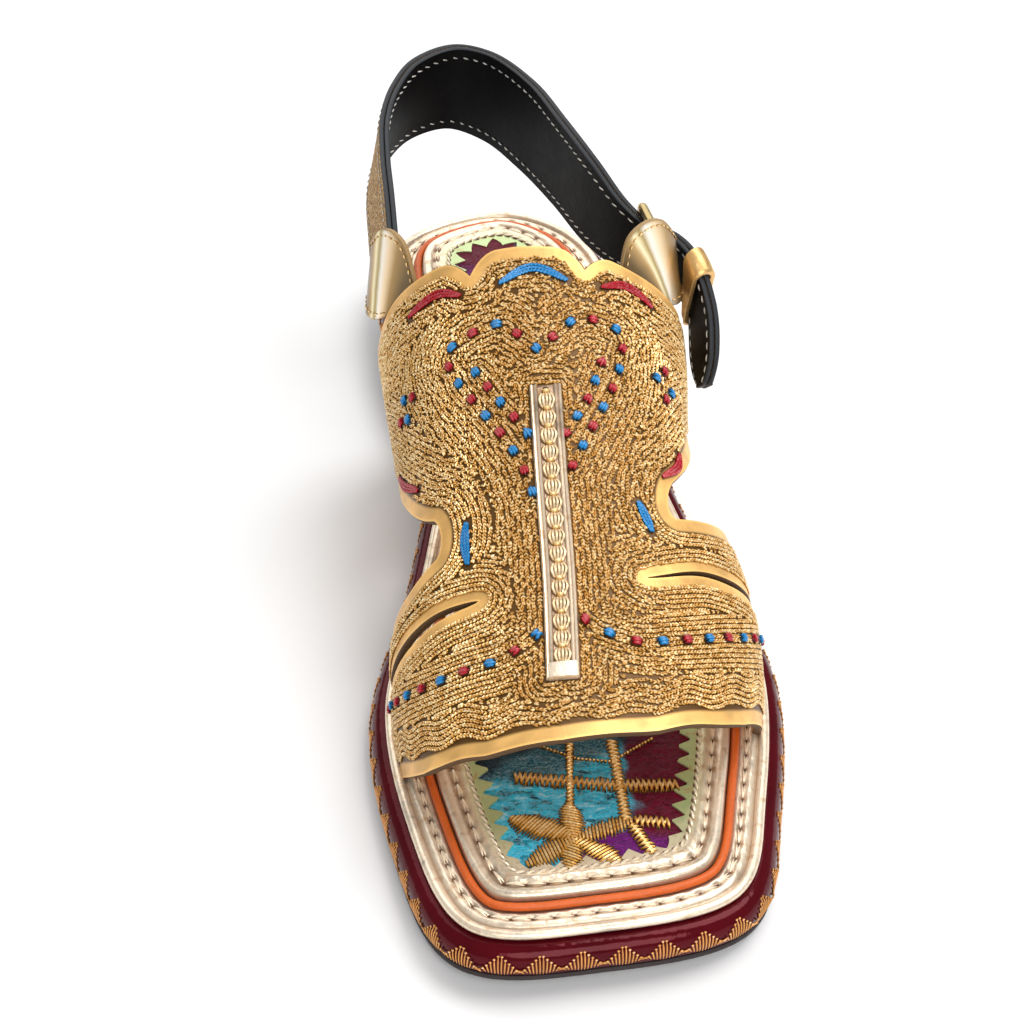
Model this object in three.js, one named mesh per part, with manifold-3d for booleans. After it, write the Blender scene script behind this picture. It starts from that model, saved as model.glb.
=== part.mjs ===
// Leather sandal for the left foot: a one-piece embroidered upper on a wrapped sole, with a buckled heel strap.
// Millimetres, +Z up, toe towards -Y, outer (lateral) side of the foot towards +X.
// Lengths along the shoe are measured from the toe of the gold border; the last group moves the origin under
// the flat of the forefoot.
import * as THREE from "three";
import Module from "manifold-3d";

const wasm = await Module();
wasm.setup();

// Driving dimensions
const GAP = 0.3;
const ORIGIN_Y = 70;
const SOLE_REACH = 3.8;
const OUTSOLE_THICK = 2;
const MIDSOLE_TOP = 11.8;
const WELT_TOP = 14;
const HEEL_RISE = 8;
const RISE_START = 90;
const RISE_LENGTH = 130;
const TOE_SPRING = 2;
const SPRING_START = 40;
const SPRING_LENGTH = 44;
const TOE_THIN = 2.2;
const HEEL_BREAST = 202;
const PIPING_INSET = 8.3;
const PIPING_RADIUS = 1.3;
const FOOTBED_TOP = 17.4;
const CLOTH_INSET = 20;
const LEATHER = 2.2;
const FOOT_INSET = 2;
const FOOT_TUCK = 0.17;
const STRAP_THICK = 2.8;
const TAB_THICK = 1.4;
const WIRE_RADIUS = 1.3;

// Outline of the gold border, through which one smooth closed curve runs
const BORDER_OUTLINE = [
  { at: "toe middle", x: -4.1, y: 0.5 },
  { at: "toe, lateral", x: 28.5, y: 7.8 },
  { at: "forefoot, lateral", x: 40.4, y: 38.2 },
  { at: "ball, lateral", x: 47.5, y: 84.7 },
  { at: "behind the ball, lateral", x: 37.5, y: 127.3 },
  { at: "waist, lateral", x: 30.3, y: 174.7 },
  { at: "heel, lateral", x: 30.8, y: 234.3 },
  { at: "heel corner, lateral", x: 23, y: 264 },
  { at: "heel middle", x: 1.1, y: 278 },
  { at: "heel corner, medial", x: -27.6, y: 265.7 },
  { at: "heel, medial", x: -32.8, y: 234.4 },
  { at: "waist, medial", x: -25.4, y: 174.4 },
  { at: "behind the ball, medial", x: -33.4, y: 127.3 },
  { at: "ball, medial", x: -46.7, y: 80.9 },
  { at: "forefoot, medial", x: -44.5, y: 37.6 },
  { at: "toe, medial", x: -33.8, y: 4.6 },
];

// Stations of the last: the ridge over the foot, each side's swell past the sole, and where it is widest
const LAST = [
  { y: 10, ridgeX: -11, ridgeZ: 37, medialSwell: 0, lateralSwell: 0, widestUp: 4 },
  { y: 35, ridgeX: -9, ridgeZ: 46.5, medialSwell: 0, lateralSwell: 0, widestUp: 5 },
  { y: 70, ridgeX: -6, ridgeZ: 57, medialSwell: 0, lateralSwell: 0, widestUp: 8 },
  { y: 100, ridgeX: -4.5, ridgeZ: 67, medialSwell: 2, lateralSwell: 0, widestUp: 14 },
  { y: 130, ridgeX: -3, ridgeZ: 80, medialSwell: 8, lateralSwell: 1, widestUp: 24 },
  { y: 160, ridgeX: -2, ridgeZ: 95.5, medialSwell: 15.5, lateralSwell: 9, widestUp: 30 },
  { y: 190, ridgeX: -1, ridgeZ: 110, medialSwell: 18, lateralSwell: 12, widestUp: 32 },
];
const ROUNDNESS = 0.6;
const SIDE_DROP = 0.55;

// The leather's cut: lengths along the shoe of each edge, against the share of the way from ridge to sole
const CUT = {
  medial: [
    { across: 0, front: 31.4, slit: 70, legBack: 89, wingFront: 95.5, top: 156.2 },
    { across: 0.15, front: 30.9, slit: 70, legBack: 89, wingFront: 95.5, top: 157.5 },
    { across: 0.3, front: 31.4, slit: 70.7, legBack: 89, wingFront: 95.5, top: 161.5 },
    { across: 0.45, front: 33.6, slit: 72.2, legBack: 87.3, wingFront: 101.5, top: 167.3 },
    { across: 0.6, front: 36.6, slit: 73.2, legBack: 86.6, wingFront: 116.5, top: 173.5 },
    { across: 0.8, front: 43.8, slit: 75.8, legBack: 90, wingFront: 142, top: 184 },
    { across: 1, front: 55, slit: 80.5, legBack: 97, wingFront: 160, top: 194 },
  ],
  lateral: [
    { across: 0, front: 31.4, slit: 70, legBack: 89, wingFront: 95.5, top: 156.2 },
    { across: 0.15, front: 31.9, slit: 71.2, legBack: 89, wingFront: 95.5, top: 155.5 },
    { across: 0.3, front: 33.2, slit: 73.4, legBack: 89.5, wingFront: 95.8, top: 156 },
    { across: 0.45, front: 36.4, slit: 77.8, legBack: 93.4, wingFront: 109, top: 160 },
    { across: 0.6, front: 40.2, slit: 81.2, legBack: 99, wingFront: 127, top: 168 },
    { across: 0.8, front: 49.5, slit: 87.5, legBack: 107.5, wingFront: 144, top: 181 },
    { across: 1, front: 60, slit: 96.5, legBack: 116, wingFront: 155, top: 192 },
  ],
};
const SLIT_TIP = 0.275;
const SLIT_OPEN = 1.4;
const SLIT_TAPER = 0.3;
const NOTCH_ROUND = 0.03;
const NOTCH_TIP = { medial: 0.385, lateral: 0.355 };
const SCALLOP = {
  medial: { across: 0.162, deep: 5, wide: 0.075 },
  lateral: { across: 0.131, deep: 4.5, wide: 0.075 },
};

// Both edges of the heel strap, from the medial tab round the heel to the tip of its tail
const STRAP_EDGES = [
  { at: "in the medial tab", upper: [-35.6, 178, 85.5], lower: [-39.2, 179.5, 62] },
  { at: "medial ankle", upper: [-35.3, 193, 87], lower: [-39.3, 193, 60] },
  { at: "medial side", upper: [-35, 211.5, 87], lower: [-39, 212, 60] },
  { at: "medial side, back", upper: [-33.5, 231, 87], lower: [-37.9, 234, 60] },
  { at: "medial bend", upper: [-29.4, 246.5, 87], lower: [-33.9, 250, 60] },
  { at: "back, medial", upper: [-22.5, 259, 87], lower: [-25.5, 262.6, 60] },
  { at: "back of the heel", upper: [-11.7, 265, 87], lower: [-14, 267, 60] },
  { at: "back, lateral", upper: [-2.2, 260.5, 87], lower: [-3.5, 259, 60] },
  { at: "lateral bend", upper: [7.6, 244.4, 87], lower: [5.5, 242.3, 60] },
  { at: "lateral side", upper: [13.9, 224, 87], lower: [12.7, 224.2, 60] },
  { at: "lateral ankle", upper: [20, 203.7, 86.2], lower: [19.2, 204, 60.2] },
  { at: "before the buckle", upper: [26.3, 190.6, 81.5], lower: [25.8, 189.6, 62] },
  { at: "in the buckle", upper: [31.8, 184.6, 78.5], lower: [32.2, 183.6, 63] },
  { at: "over the buckle's bar", upper: [38, 179.2, 78], lower: [38.8, 178.4, 61.5] },
  { at: "under the keeper", upper: [42.3, 171.2, 76], lower: [42.8, 174, 56.5] },
  { at: "tail", upper: [45.4, 162, 67.5], lower: [43.2, 173.6, 52] },
  { at: "tail, lower", upper: [45.4, 153.8, 58.5], lower: [42.6, 167, 45.5] },
  { at: "tip", upper: [44.6, 149, 52.5], lower: [42, 160.5, 41] },
];
const STRAP_STEPS = 52;
const STRAP_TIP_STEPS = 5;

// Folded tabs at the two corners of the wing: where the flap leaves the wing, then the lines of its wrap,
// round the strap's end or the buckle's bar, from the tab's low edge to its high edge
const TABS = {
  medial: {
    flap: { low: -0.5, high: -0.365 },
    wrap: [
      { low: [-38.2, 171.2, 64.2], high: [-33.1, 170, 86.9] },
      { low: [-41.2, 172, 63], high: [-35.6, 173, 88.8] },
      { low: [-42.7, 174.8, 62.3], high: [-38.2, 177, 86.9] },
      { low: [-42.5, 179, 61.8], high: [-40.2, 181, 81.2] },
      { low: [-42, 183, 61.8], high: [-39, 185, 80.4] },
    ],
  },
  lateral: {
    flap: { low: 0.47, high: 0.26 },
    wrap: [
      { low: [34.4, 163.5, 67.5], high: [22.9, 161, 90.8] },
      { low: [37, 165.5, 66.5], high: [27.5, 164.5, 92.8] },
      { low: [38.4, 169, 66], high: [32.1, 168, 90.8] },
      { low: [38.2, 172.6, 65.5], high: [36.3, 173, 81.5] },
      { low: [36.2, 174, 65.4], high: [33.6, 176, 79.5] },
    ],
  },
};
const FLAP_UNDER = 5;
const FLAP_PAST_EDGE = 1.2;

const spring = (y) => Math.max(0, (SPRING_START - y) / SPRING_LENGTH) ** 2;
const lift = (y) => {
  const rise = THREE.MathUtils.smoothstep(y, RISE_START, RISE_START + RISE_LENGTH);
  return HEEL_RISE * rise + TOE_SPRING * spring(y);
};

// The sole thins towards the toe: its bottom rises there, and the top of the midsole stays
const thinned = (height, y) => height + TOE_THIN * spring(y) * Math.max(0, 1 - height / MIDSOLE_TOP);

// Smooth value of one column of a table, through all its rows
function through(rows, key, column, at) {
  const last = rows.length - 1;
  let i = rows.findIndex((row) => row[key] > at) - 1;
  if (i < 0) i = at <= rows[0][key] ? 0 : last - 1;
  const slope = (k) => {
    const before = rows[Math.max(k - 1, 0)];
    const after = rows[Math.min(k + 1, last)];
    return (after[column] - before[column]) / (after[key] - before[key]);
  };
  const span = rows[i + 1][key] - rows[i][key];
  const t = (at - rows[i][key]) / span;
  const start = rows[i][column] * (1 + 2 * t) * (1 - t) ** 2 + slope(i) * span * t * (1 - t) ** 2;
  const end = rows[i + 1][column] * t * t * (3 - 2 * t) - slope(i + 1) * span * t * t * (1 - t);
  return start + end;
}

// Solids from vertices and faces, and booleans between them
function geometryOf(vertices, faces) {
  const geometry = new THREE.BufferGeometry();
  geometry.setAttribute("position", new THREE.Float32BufferAttribute(vertices.flatMap((v) => v.toArray()), 3));
  geometry.setIndex(faces.flat());
  return geometry;
}

function solidOf(geometry) {
  const vertProperties = new Float32Array(geometry.attributes.position.array);
  const triVerts = new Uint32Array(geometry.index.array);
  return new wasm.Manifold(new wasm.Mesh({ numProp: 3, vertProperties, triVerts }));
}

function geometryFromSolid(solid) {
  const { vertProperties, triVerts } = solid.getMesh();
  const geometry = new THREE.BufferGeometry();
  geometry.setAttribute("position", new THREE.Float32BufferAttribute(vertProperties, 3));
  geometry.setIndex([...triVerts]);
  return geometry;
}

function boxSolid(low, high) {
  const size = high.clone().sub(low);
  const box = new THREE.BoxGeometry(size.x, size.y, size.z);
  box.translate(...low.clone().add(high).multiplyScalar(0.5).toArray());
  const corners = [];
  const seen = new Map();
  const place = box.attributes.position;
  const renamed = [...box.index.array].map((i) => {
    const corner = new THREE.Vector3().fromBufferAttribute(place, i);
    const name = corner.toArray().join();
    if (!seen.has(name)) {
      seen.set(name, corners.length);
      corners.push(corner);
    }
    return seen.get(name);
  });
  const faces = [];
  for (let k = 0; k < renamed.length; k += 3) faces.push(renamed.slice(k, k + 3));
  return solidOf(geometryOf(corners, faces));
}

// Closed loops around the shoe, a set distance inside the border's outline; far inside, their corners are eased
const TIGHT_INSET = 15;
const CORNER_ROUNDS = 6;
const OUTLINE_STEPS = 80;
const borderCurve = new THREE.CatmullRomCurve3(
  BORDER_OUTLINE.map(({ x, y }) => new THREE.Vector3(x, y, 0)), true, "catmullrom", 0.5);

function loopInside(inset, steps = OUTLINE_STEPS) {
  const points = Array.from({ length: steps }, (_, k) => borderCurve.getPoint(k / steps));
  let loop = points.map((point, k) => {
    const along = points[(k + 1) % steps].clone().sub(points[(k + steps - 1) % steps]).normalize();
    return new THREE.Vector3(point.x - along.y * inset, point.y + along.x * inset, 0);
  });
  for (let round = 0; inset > TIGHT_INSET && round < CORNER_ROUNDS; round++) {
    loop = loop.map((point, k) => {
      const beside = loop[(k + 1) % steps].clone().add(loop[(k + steps - 1) % steps]);
      return point.clone().multiplyScalar(2).add(beside).divideScalar(4);
    });
  }
  return loop;
}

const raised = (loop, height) => loop.map((p) => (
  new THREE.Vector3(p.x, p.y, thinned(height, p.y) + lift(p.y))));

// Layer of the sole: loops from the bottom to the top, closed below and above by strips across the shoe
function layer(profile) {
  const loops = profile.map(({ inset, z }) => raised(loopInside(inset), z));
  const n = OUTLINE_STEPS;
  const faces = [];
  for (let row = 0; row + 1 < loops.length; row++) {
    for (let k = 0; k < n; k++) {
      const [a, b] = [row * n + k, row * n + (k + 1) % n];
      faces.push([a, b, b + n], [a, b + n, a + n]);
    }
  }
  const top = (loops.length - 1) * n;
  for (let k = 0; k < n / 2; k++) {
    const strip = [k, k + 1, n - k - 1, (n - k) % n];
    for (const [a, b, c] of [[0, 1, 2], [0, 2, 3]].map((tri) => tri.map((i) => strip[i]))) {
      if (a === b || b === c || a === c) continue;
      faces.push([c, b, a], [top + a, top + b, top + c]);
    }
  }
  return geometryOf(loops.flat(), faces);
}

// Ring swept round a closed path; its section holds distances away from the path's middle and along the axis
function ring(path, axis, section) {
  const n = path.length;
  const m = section.length;
  const vertices = [];
  path.forEach((point, k) => {
    const along = path[(k + 1) % n].clone().sub(path[(k + n - 1) % n]).normalize();
    const away = along.clone().cross(axis).normalize();
    for (const [out, up] of section) {
      vertices.push(point.clone().addScaledVector(away, out).addScaledVector(axis, up));
    }
  });
  const faces = [];
  for (let k = 0; k < n; k++) {
    for (let s = 0; s < m; s++) {
      const [a, b] = [k * m + s, k * m + (s + 1) % m];
      const [c, d] = [((k + 1) % n) * m + (s + 1) % m, ((k + 1) % n) * m + s];
      faces.push([a, d, c], [a, c, b]);
    }
  }
  return geometryOf(vertices, faces);
}

const roundSection = (radius, sides) => Array.from({ length: sides }, (_, k) => {
  const angle = (2 * Math.PI * k) / sides;
  return [radius * Math.cos(angle), radius * Math.sin(angle)];
});

// Sheet with a thickness: a grid of points on each face, closed round its rim and round any hole
function sheet(outer, inner, keeps = () => true) {
  const names = new Map();
  const spots = [];
  const nameOf = (i, j) => {
    const key = outer[i][j].toArray().map((value) => value.toFixed(3)).join();
    if (!names.has(key)) {
      names.set(key, spots.length);
      spots.push([outer[i][j], inner[i][j]]);
    }
    return names.get(key);
  };
  const skin = [];
  for (let i = 0; i + 1 < outer.length; i++) {
    for (let j = 0; j + 1 < outer[i].length; j++) {
      if (!keeps(i, j)) continue;
      const [a, b, c, d] = [nameOf(i, j), nameOf(i, j + 1), nameOf(i + 1, j + 1), nameOf(i + 1, j)];
      for (const tri of [[a, b, c], [a, c, d]]) if (new Set(tri).size === 3) skin.push(tri);
    }
  }
  const edges = new Set(skin.flatMap(([a, b, c]) => [`${a} ${b}`, `${b} ${c}`, `${c} ${a}`]));
  const n = spots.length;
  const faces = skin.flatMap(([a, b, c]) => [[a, b, c], [n + a, n + c, n + b]]);
  for (const edge of edges) {
    const [a, b] = edge.split(" ").map(Number);
    if (!edges.has(`${b} ${a}`)) faces.push([b, a, n + a], [b, n + a, n + b]);
  }
  return geometryOf([...spots.map(([o]) => o), ...spots.map(([, i]) => i)], faces);
}

// Sheet of even thickness about a grid of points on its middle
function evenSheet(middle, thick, keeps) {
  const rows = middle.length;
  const columns = middle[0].length;
  const faceAt = (side) => middle.map((row, i) => row.map((point, j) => {
    const along = middle[Math.min(i + 1, rows - 1)][j].clone().sub(middle[Math.max(i - 1, 0)][j]);
    const across = row[Math.min(j + 1, columns - 1)].clone().sub(row[Math.max(j - 1, 0)]);
    return point.clone().addScaledVector(across.cross(along).normalize(), side * thick / 2);
  }));
  return sheet(faceAt(1), faceAt(-1), keeps);
}

// The last's surface, which is the outer face of the leather
const FOOT_LINE_STEPS = 640;
const footLoop = loopInside(FOOT_INSET, FOOT_LINE_STEPS);
const byLength = (a, b) => a.y - b.y;
const footLine = {
  medial: footLoop.filter((p) => p.x < -8).sort(byLength),
  lateral: footLoop.filter((p) => p.x > 8).sort(byLength),
};

function footX(side, y) {
  const line = footLine[side];
  const i = Math.max(1, line.findIndex((p) => p.y >= y));
  const [before, after] = [line[i - 1], line[i]];
  return THREE.MathUtils.mapLinear(y, before.y, after.y, before.x, after.x);
}

const SECTION_STEPS = 24;
function halfSection(side, y) {
  const station = (column) => through(LAST, "y", column, y);
  const outward = side === "medial" ? -1 : 1;
  const ridge = new THREE.Vector2(station("ridgeX"), station("ridgeZ"));
  const swell = outward * station(`${side}Swell`);
  const foot = new THREE.Vector2(footX(side, y) - FOOT_TUCK * swell, MIDSOLE_TOP + GAP + lift(y));
  const widest = new THREE.Vector2(footX(side, y) + swell, foot.y + station("widestUp"));
  const above = new THREE.CubicBezierCurve(
    ridge,
    new THREE.Vector2(ridge.x + ROUNDNESS * (widest.x - ridge.x), ridge.y),
    new THREE.Vector2(widest.x, widest.y + ROUNDNESS * (ridge.y - widest.y)),
    widest);
  const below = new THREE.QuadraticBezierCurve(
    widest, new THREE.Vector2(widest.x, widest.y - SIDE_DROP * station("widestUp")), foot);
  const points = [...above.getPoints(SECTION_STEPS), ...below.getPoints(SECTION_STEPS).slice(1)];
  const lengths = [0];
  for (let k = 1; k < points.length; k++) lengths.push(lengths[k - 1] + points[k].distanceTo(points[k - 1]));
  return { points, lengths, girth: lengths.at(-1) };
}

// Point of the last: across runs from -1 at the medial foot, over 0 at the ridge, to 1 at the lateral foot
function lastPoint(across, y) {
  const { points, lengths, girth } = halfSection(across < 0 ? "medial" : "lateral", y);
  const length = Math.abs(across) * girth;
  const i = Math.min(Math.max(1, lengths.findIndex((value) => value >= length)), points.length - 1);
  const t = (length - lengths[i - 1]) / (lengths[i] - lengths[i - 1]);
  const spot = points[i - 1].clone().lerp(points[i], t);
  return new THREE.Vector3(spot.x, y, spot.y);
}

const PROBE = 0.004;
const PROBE_Y = 0.5;
function lastNormal(across, y) {
  const [low, high] = [Math.max(across - PROBE, -1), Math.min(across + PROBE, 1)];
  const over = lastPoint(high, y).sub(lastPoint(low, y));
  const along = lastPoint(across, y + PROBE_Y).sub(lastPoint(across, y - PROBE_Y));
  return over.cross(along).normalize();
}

const offLast = (across, y, height) => lastPoint(across, y).addScaledVector(lastNormal(across, y), height);

// Edges of the leather at one place across, from the toe to the instep
function leatherEdges(across, grow) {
  const side = across < 0 ? "medial" : "lateral";
  const w = Math.abs(across);
  const edge = (column) => through(CUT[side], "across", column, w);
  const slitShare = Math.min(1, Math.max(0, (w - SLIT_TIP) / SLIT_TAPER));
  const slitOpen = Math.max(0, SLIT_OPEN * Math.sqrt(slitShare) - grow);
  const notchShare = Math.min(1, Math.max(0, (w - NOTCH_TIP[side]) / NOTCH_ROUND));
  const notchOpen = Math.sqrt(1 - (1 - notchShare) ** 2);
  const notchMiddle = (edge("legBack") + edge("wingFront")) / 2;
  const { across: valley, deep, wide } = SCALLOP[side];
  const dip = deep * (1 - Math.min(1, Math.abs(w - valley) / wide)) ** 2;
  return {
    front: edge("front") - grow,
    slitFront: edge("slit") - slitOpen,
    slitBack: edge("slit") + slitOpen,
    legBack: THREE.MathUtils.lerp(notchMiddle, edge("legBack") + grow, notchOpen),
    wingFront: THREE.MathUtils.lerp(notchMiddle, edge("wingFront") - grow, notchOpen),
    top: edge("top") - dip + grow,
  };
}

// Upper: one wall of leather, cut by a slit and a notch on each side; grow widens it for the slots it sits in
const BANDS = [
  { from: "front", to: "slitFront", rows: 7 },
  { from: "slitFront", to: "slitBack", rows: 1, open: true },
  { from: "slitBack", to: "legBack", rows: 3 },
  { from: "legBack", to: "wingFront", rows: 1, open: true },
  { from: "wingFront", to: "top", rows: 10 },
];
const ACROSS_STEPS = {
  medial: [
    0.93, 0.86, 0.79, 0.72, 0.65, 0.58, 0.51, 0.455, 0.415, 0.393, 0.385, 0.33, 0.275, 0.22, 0.162, 0.1, 0.05,
  ],
  lateral: [
    0.05, 0.09, 0.131, 0.18, 0.225, 0.275, 0.315, 0.355, 0.363, 0.385, 0.44, 0.51, 0.58, 0.65,
    0.72, 0.79, 0.86, 0.93,
  ],
};
const FOOT_COLUMN = 0.93;
const SLOT_REACH = 5;
const COLUMNS = [-1, ...ACROSS_STEPS.medial.map((w) => -w), 0, ...ACROSS_STEPS.lateral, 1];

function leatherWall(grow) {
  const rows = [];
  for (const band of BANDS) {
    const count = band === BANDS.at(-1) ? band.rows + 1 : band.rows;
    for (let k = 0; k < count; k++) rows.push({ band, share: k / band.rows });
  }
  const spot = ({ band, share }, across, height) => {
    const edges = leatherEdges(across, grow);
    return offLast(across, THREE.MathUtils.lerp(edges[band.from], edges[band.to], share), height);
  };
  const face = (height) => rows.map((row) => COLUMNS.map((across) => {
    const point = spot(row, across, height);
    if (Math.abs(across) < 1) return point;
    const downward = point.clone().sub(spot(row, FOOT_COLUMN * across, height)).normalize();
    return point.addScaledVector(downward, SLOT_REACH * grow);
  }));
  return sheet(face(grow), face(-LEATHER - grow), (i) => !rows[i].band.open);
}

const upper = leatherWall(0);

// Sole: outsole with its heel, wrapped midsole, gold welt, piping, gold footbed and cloth inlay
function outsole() {
  const bottomEdge = { inset: 1.4 - SOLE_REACH, z: 0 };
  const sole = solidOf(layer([
    bottomEdge,
    { inset: 0.7 - SOLE_REACH, z: 0.7 },
    { inset: 0.7 - SOLE_REACH, z: OUTSOLE_THICK },
  ]));
  const heelRoom = boxSolid(new THREE.Vector3(-60, HEEL_BREAST, 0), new THREE.Vector3(60, 300, 40));
  const heelColumn = solidOf(layer([
    { inset: bottomEdge.inset, z: -2 * HEEL_RISE },
    { inset: bottomEdge.inset, z: OUTSOLE_THICK / 2 },
  ]));
  return geometryFromSolid(sole.add(heelColumn.intersect(heelRoom)));
}

const midsole = () => layer([
  { inset: 0.9 - SOLE_REACH, z: OUTSOLE_THICK + GAP },
  { inset: -SOLE_REACH, z: 4.4 },
  { inset: -SOLE_REACH, z: 7.4 },
  { inset: 0.9 - SOLE_REACH, z: 9.9 },
  { inset: 2.3 - SOLE_REACH, z: 11.3 },
  { inset: 4.2 - SOLE_REACH, z: MIDSOLE_TOP },
]);

function welt() {
  const board = solidOf(layer([
    { inset: 0.8, z: MIDSOLE_TOP + GAP },
    { inset: 0, z: 12.8 },
    { inset: 0, z: 13.3 },
    { inset: 0.8, z: WELT_TOP },
  ]));
  return geometryFromSolid(board.subtract(solidOf(leatherWall(GAP))));
}

const UP = new THREE.Vector3(0, 0, 1);
const piping = () => ring(
  raised(loopInside(PIPING_INSET), WELT_TOP + GAP + PIPING_RADIUS), UP, roundSection(PIPING_RADIUS, 6));

function footbed() {
  const edge = PIPING_INSET + PIPING_RADIUS + GAP;
  const bottom = WELT_TOP + GAP;
  const profile = [
    { inset: edge + 0.8, z: bottom },
    { inset: edge, z: bottom + 1 },
    { inset: edge, z: FOOTBED_TOP - 1 },
    { inset: edge + 1, z: FOOTBED_TOP },
    { inset: CLOTH_INSET, z: FOOTBED_TOP },
    { inset: CLOTH_INSET, z: bottom },
  ];
  const loops = profile.map(({ inset, z }) => raised(loopInside(inset), z));
  const n = OUTLINE_STEPS;
  const faces = [];
  loops.forEach((_, row) => {
    const next = (row + 1) % loops.length;
    for (let k = 0; k < n; k++) {
      const [a, b] = [row * n + k, row * n + (k + 1) % n];
      const [c, d] = [next * n + (k + 1) % n, next * n + k];
      faces.push([a, b, c], [a, c, d]);
    }
  });
  return geometryOf(loops.flat(), faces);
}

const insoleCloth = () => layer([
  { inset: CLOTH_INSET + GAP, z: WELT_TOP + GAP },
  { inset: CLOTH_INSET + GAP, z: FOOTBED_TOP - 0.9 },
  { inset: CLOTH_INSET + 1.2, z: FOOTBED_TOP - 0.5 },
]);

// Placket: a raised strip along the ridge, with a rail down each side
const PLACKET = { start: 46, end: 121.5, rows: 16, shift: 0.5 };
const PLACKET_RIB = [
  { over: -3.75, high: 1.6 },
  { over: -2.5, high: 1.9 },
  { over: -2, high: 1.2 },
  { over: 2, high: 1.2 },
  { over: 2.5, high: 1.9 },
  { over: 3.75, high: 1.6 },
];
function placket() {
  const face = (heightOf) => Array.from({ length: PLACKET.rows + 1 }, (_, k) => {
    const y = THREE.MathUtils.lerp(PLACKET.start, PLACKET.end, k / PLACKET.rows);
    return PLACKET_RIB.map(({ over, high }) => {
      const girth = over + PLACKET.shift;
      const across = girth / halfSection(girth < 0 ? "medial" : "lateral", y).girth;
      return offLast(across, y, heightOf(high));
    });
  });
  return sheet(face((high) => GAP + high), face(() => GAP));
}

// Tabs: a flap from under the wing, wrapped round the strap's end or the buckle's bar
const WRAP_STEPS = 15;
const TAB_ROWS = 7;
function tab({ flap, wrap }, outward) {
  const under = -LEATHER - GAP - TAB_THICK / 2;
  const rows = Array.from({ length: TAB_ROWS }, (_, k) => {
    const share = k / (TAB_ROWS - 1);
    const across = THREE.MathUtils.lerp(flap.low, flap.high, share);
    const edge = leatherEdges(across, 0).top;
    const end = offLast(across, edge - FLAP_UNDER, under);
    const out = offLast(across, edge + FLAP_PAST_EDGE, under);
    const stops = wrap.map(({ low, high }) => (
      new THREE.Vector3(...low).lerp(new THREE.Vector3(...high), share)));
    const path = new THREE.CatmullRomCurve3([out, ...stops], false, "centripetal");
    return [end, ...path.getPoints(WRAP_STEPS)];
  });
  return evenSheet(outward > 0 ? rows : rows.reverse(), TAB_THICK);
}

// Path of the heel strap between its two edges
function edgeCurve(edge) {
  const points = STRAP_EDGES.map((row) => new THREE.Vector3(...row[edge]));
  return new THREE.CatmullRomCurve3(points, false, "centripetal");
}
const strapUpper = edgeCurve("upper");
const strapLower = edgeCurve("lower");
const strapPoint = (t, share) => strapUpper.getPoint(t).lerp(strapLower.getPoint(t), share);

// Buckle's frame: its bar lies in the fold of the lateral tab, and it reaches back past the strap
const FRAME = { depth: 18.5, above: -5, below: 3.2, corner: 3.5, back: [-0.1, 0.99, 0] };
const frameLow = new THREE.Vector3(35.8, 170.8, 64.5);
const frameHigh = new THREE.Vector3(31.2, 173.6, 88);
const frameAxis = frameHigh.clone().sub(frameLow).normalize();
const frameBack = new THREE.Vector3(...FRAME.back);
frameBack.addScaledVector(frameAxis, -frameBack.dot(frameAxis)).normalize();
const frameSide = frameBack.clone().cross(frameAxis).normalize();

function buckleFrame() {
  const origin = frameLow.clone().addScaledVector(frameAxis, -FRAME.below);
  const height = frameHigh.distanceTo(frameLow) + FRAME.below + FRAME.above;
  const near = FRAME.corner;
  const [far, top] = [FRAME.depth - FRAME.corner, height - FRAME.corner];
  const centres = [[near, near], [far, near], [far, top], [near, top]];
  const path = centres.flatMap(([back, up], c) => [0, 1, 2, 3].map((s) => {
    const angle = Math.PI * (1 + c / 2 + s / 6);
    return origin.clone()
      .addScaledVector(frameBack, back + FRAME.corner * Math.cos(angle))
      .addScaledVector(frameAxis, up + FRAME.corner * Math.sin(angle));
  }));
  return ring(path, frameSide, roundSection(WIRE_RADIUS, 8));
}

// Hole in the strap, two steps long, where the strap crosses the frame's middle plane
const STRAP_COLUMNS = [0, 0.22, 0.4, 0.6, 0.78, 1];
const HOLE_COLUMN = 2;
const offPlane = (step) => Math.abs(strapPoint(step / STRAP_STEPS, 0.5).sub(frameLow).dot(frameSide));
let holeStep = Math.ceil(STRAP_STEPS * 0.6);
for (let step = holeStep; step < STRAP_STEPS * 0.85; step++) {
  if (offPlane(step) < offPlane(holeStep)) holeStep = step;
}
const hole = strapPoint(holeStep / STRAP_STEPS, 0.5);

// Heel strap: one band with a hole for the prong and a rounded tip
function heelStrap() {
  const rows = Array.from({ length: STRAP_STEPS + 1 }, (_, k) => {
    const left = Math.max(0, 1 - (STRAP_STEPS - k) / STRAP_TIP_STEPS);
    const narrow = Math.max(0.35, Math.sqrt(1 - left * left));
    return STRAP_COLUMNS.map((share) => strapPoint(k / STRAP_STEPS, 0.5 + (share - 0.5) * narrow));
  });
  return evenSheet(rows, STRAP_THICK, (i, j) => j !== HOLE_COLUMN || (i !== holeStep && i + 1 !== holeStep));
}

// Prong: a rod from the buckle's bar, through the strap's hole, to the far side of the frame
const PRONG_RADIUS = 0.7;
function buckleProng() {
  const holeDepth = hole.clone().sub(frameLow).dot(frameBack);
  const ends = [WIRE_RADIUS + GAP - holeDepth, FRAME.depth - WIRE_RADIUS - GAP - holeDepth];
  const rod = new THREE.CylinderGeometry(PRONG_RADIUS, PRONG_RADIUS, ends[1] - ends[0], 8);
  rod.applyQuaternion(new THREE.Quaternion().setFromUnitVectors(new THREE.Vector3(0, 1, 0), frameBack));
  rod.translate(...hole.clone().addScaledVector(frameBack, (ends[0] + ends[1]) / 2).toArray());
  return rod;
}

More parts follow.
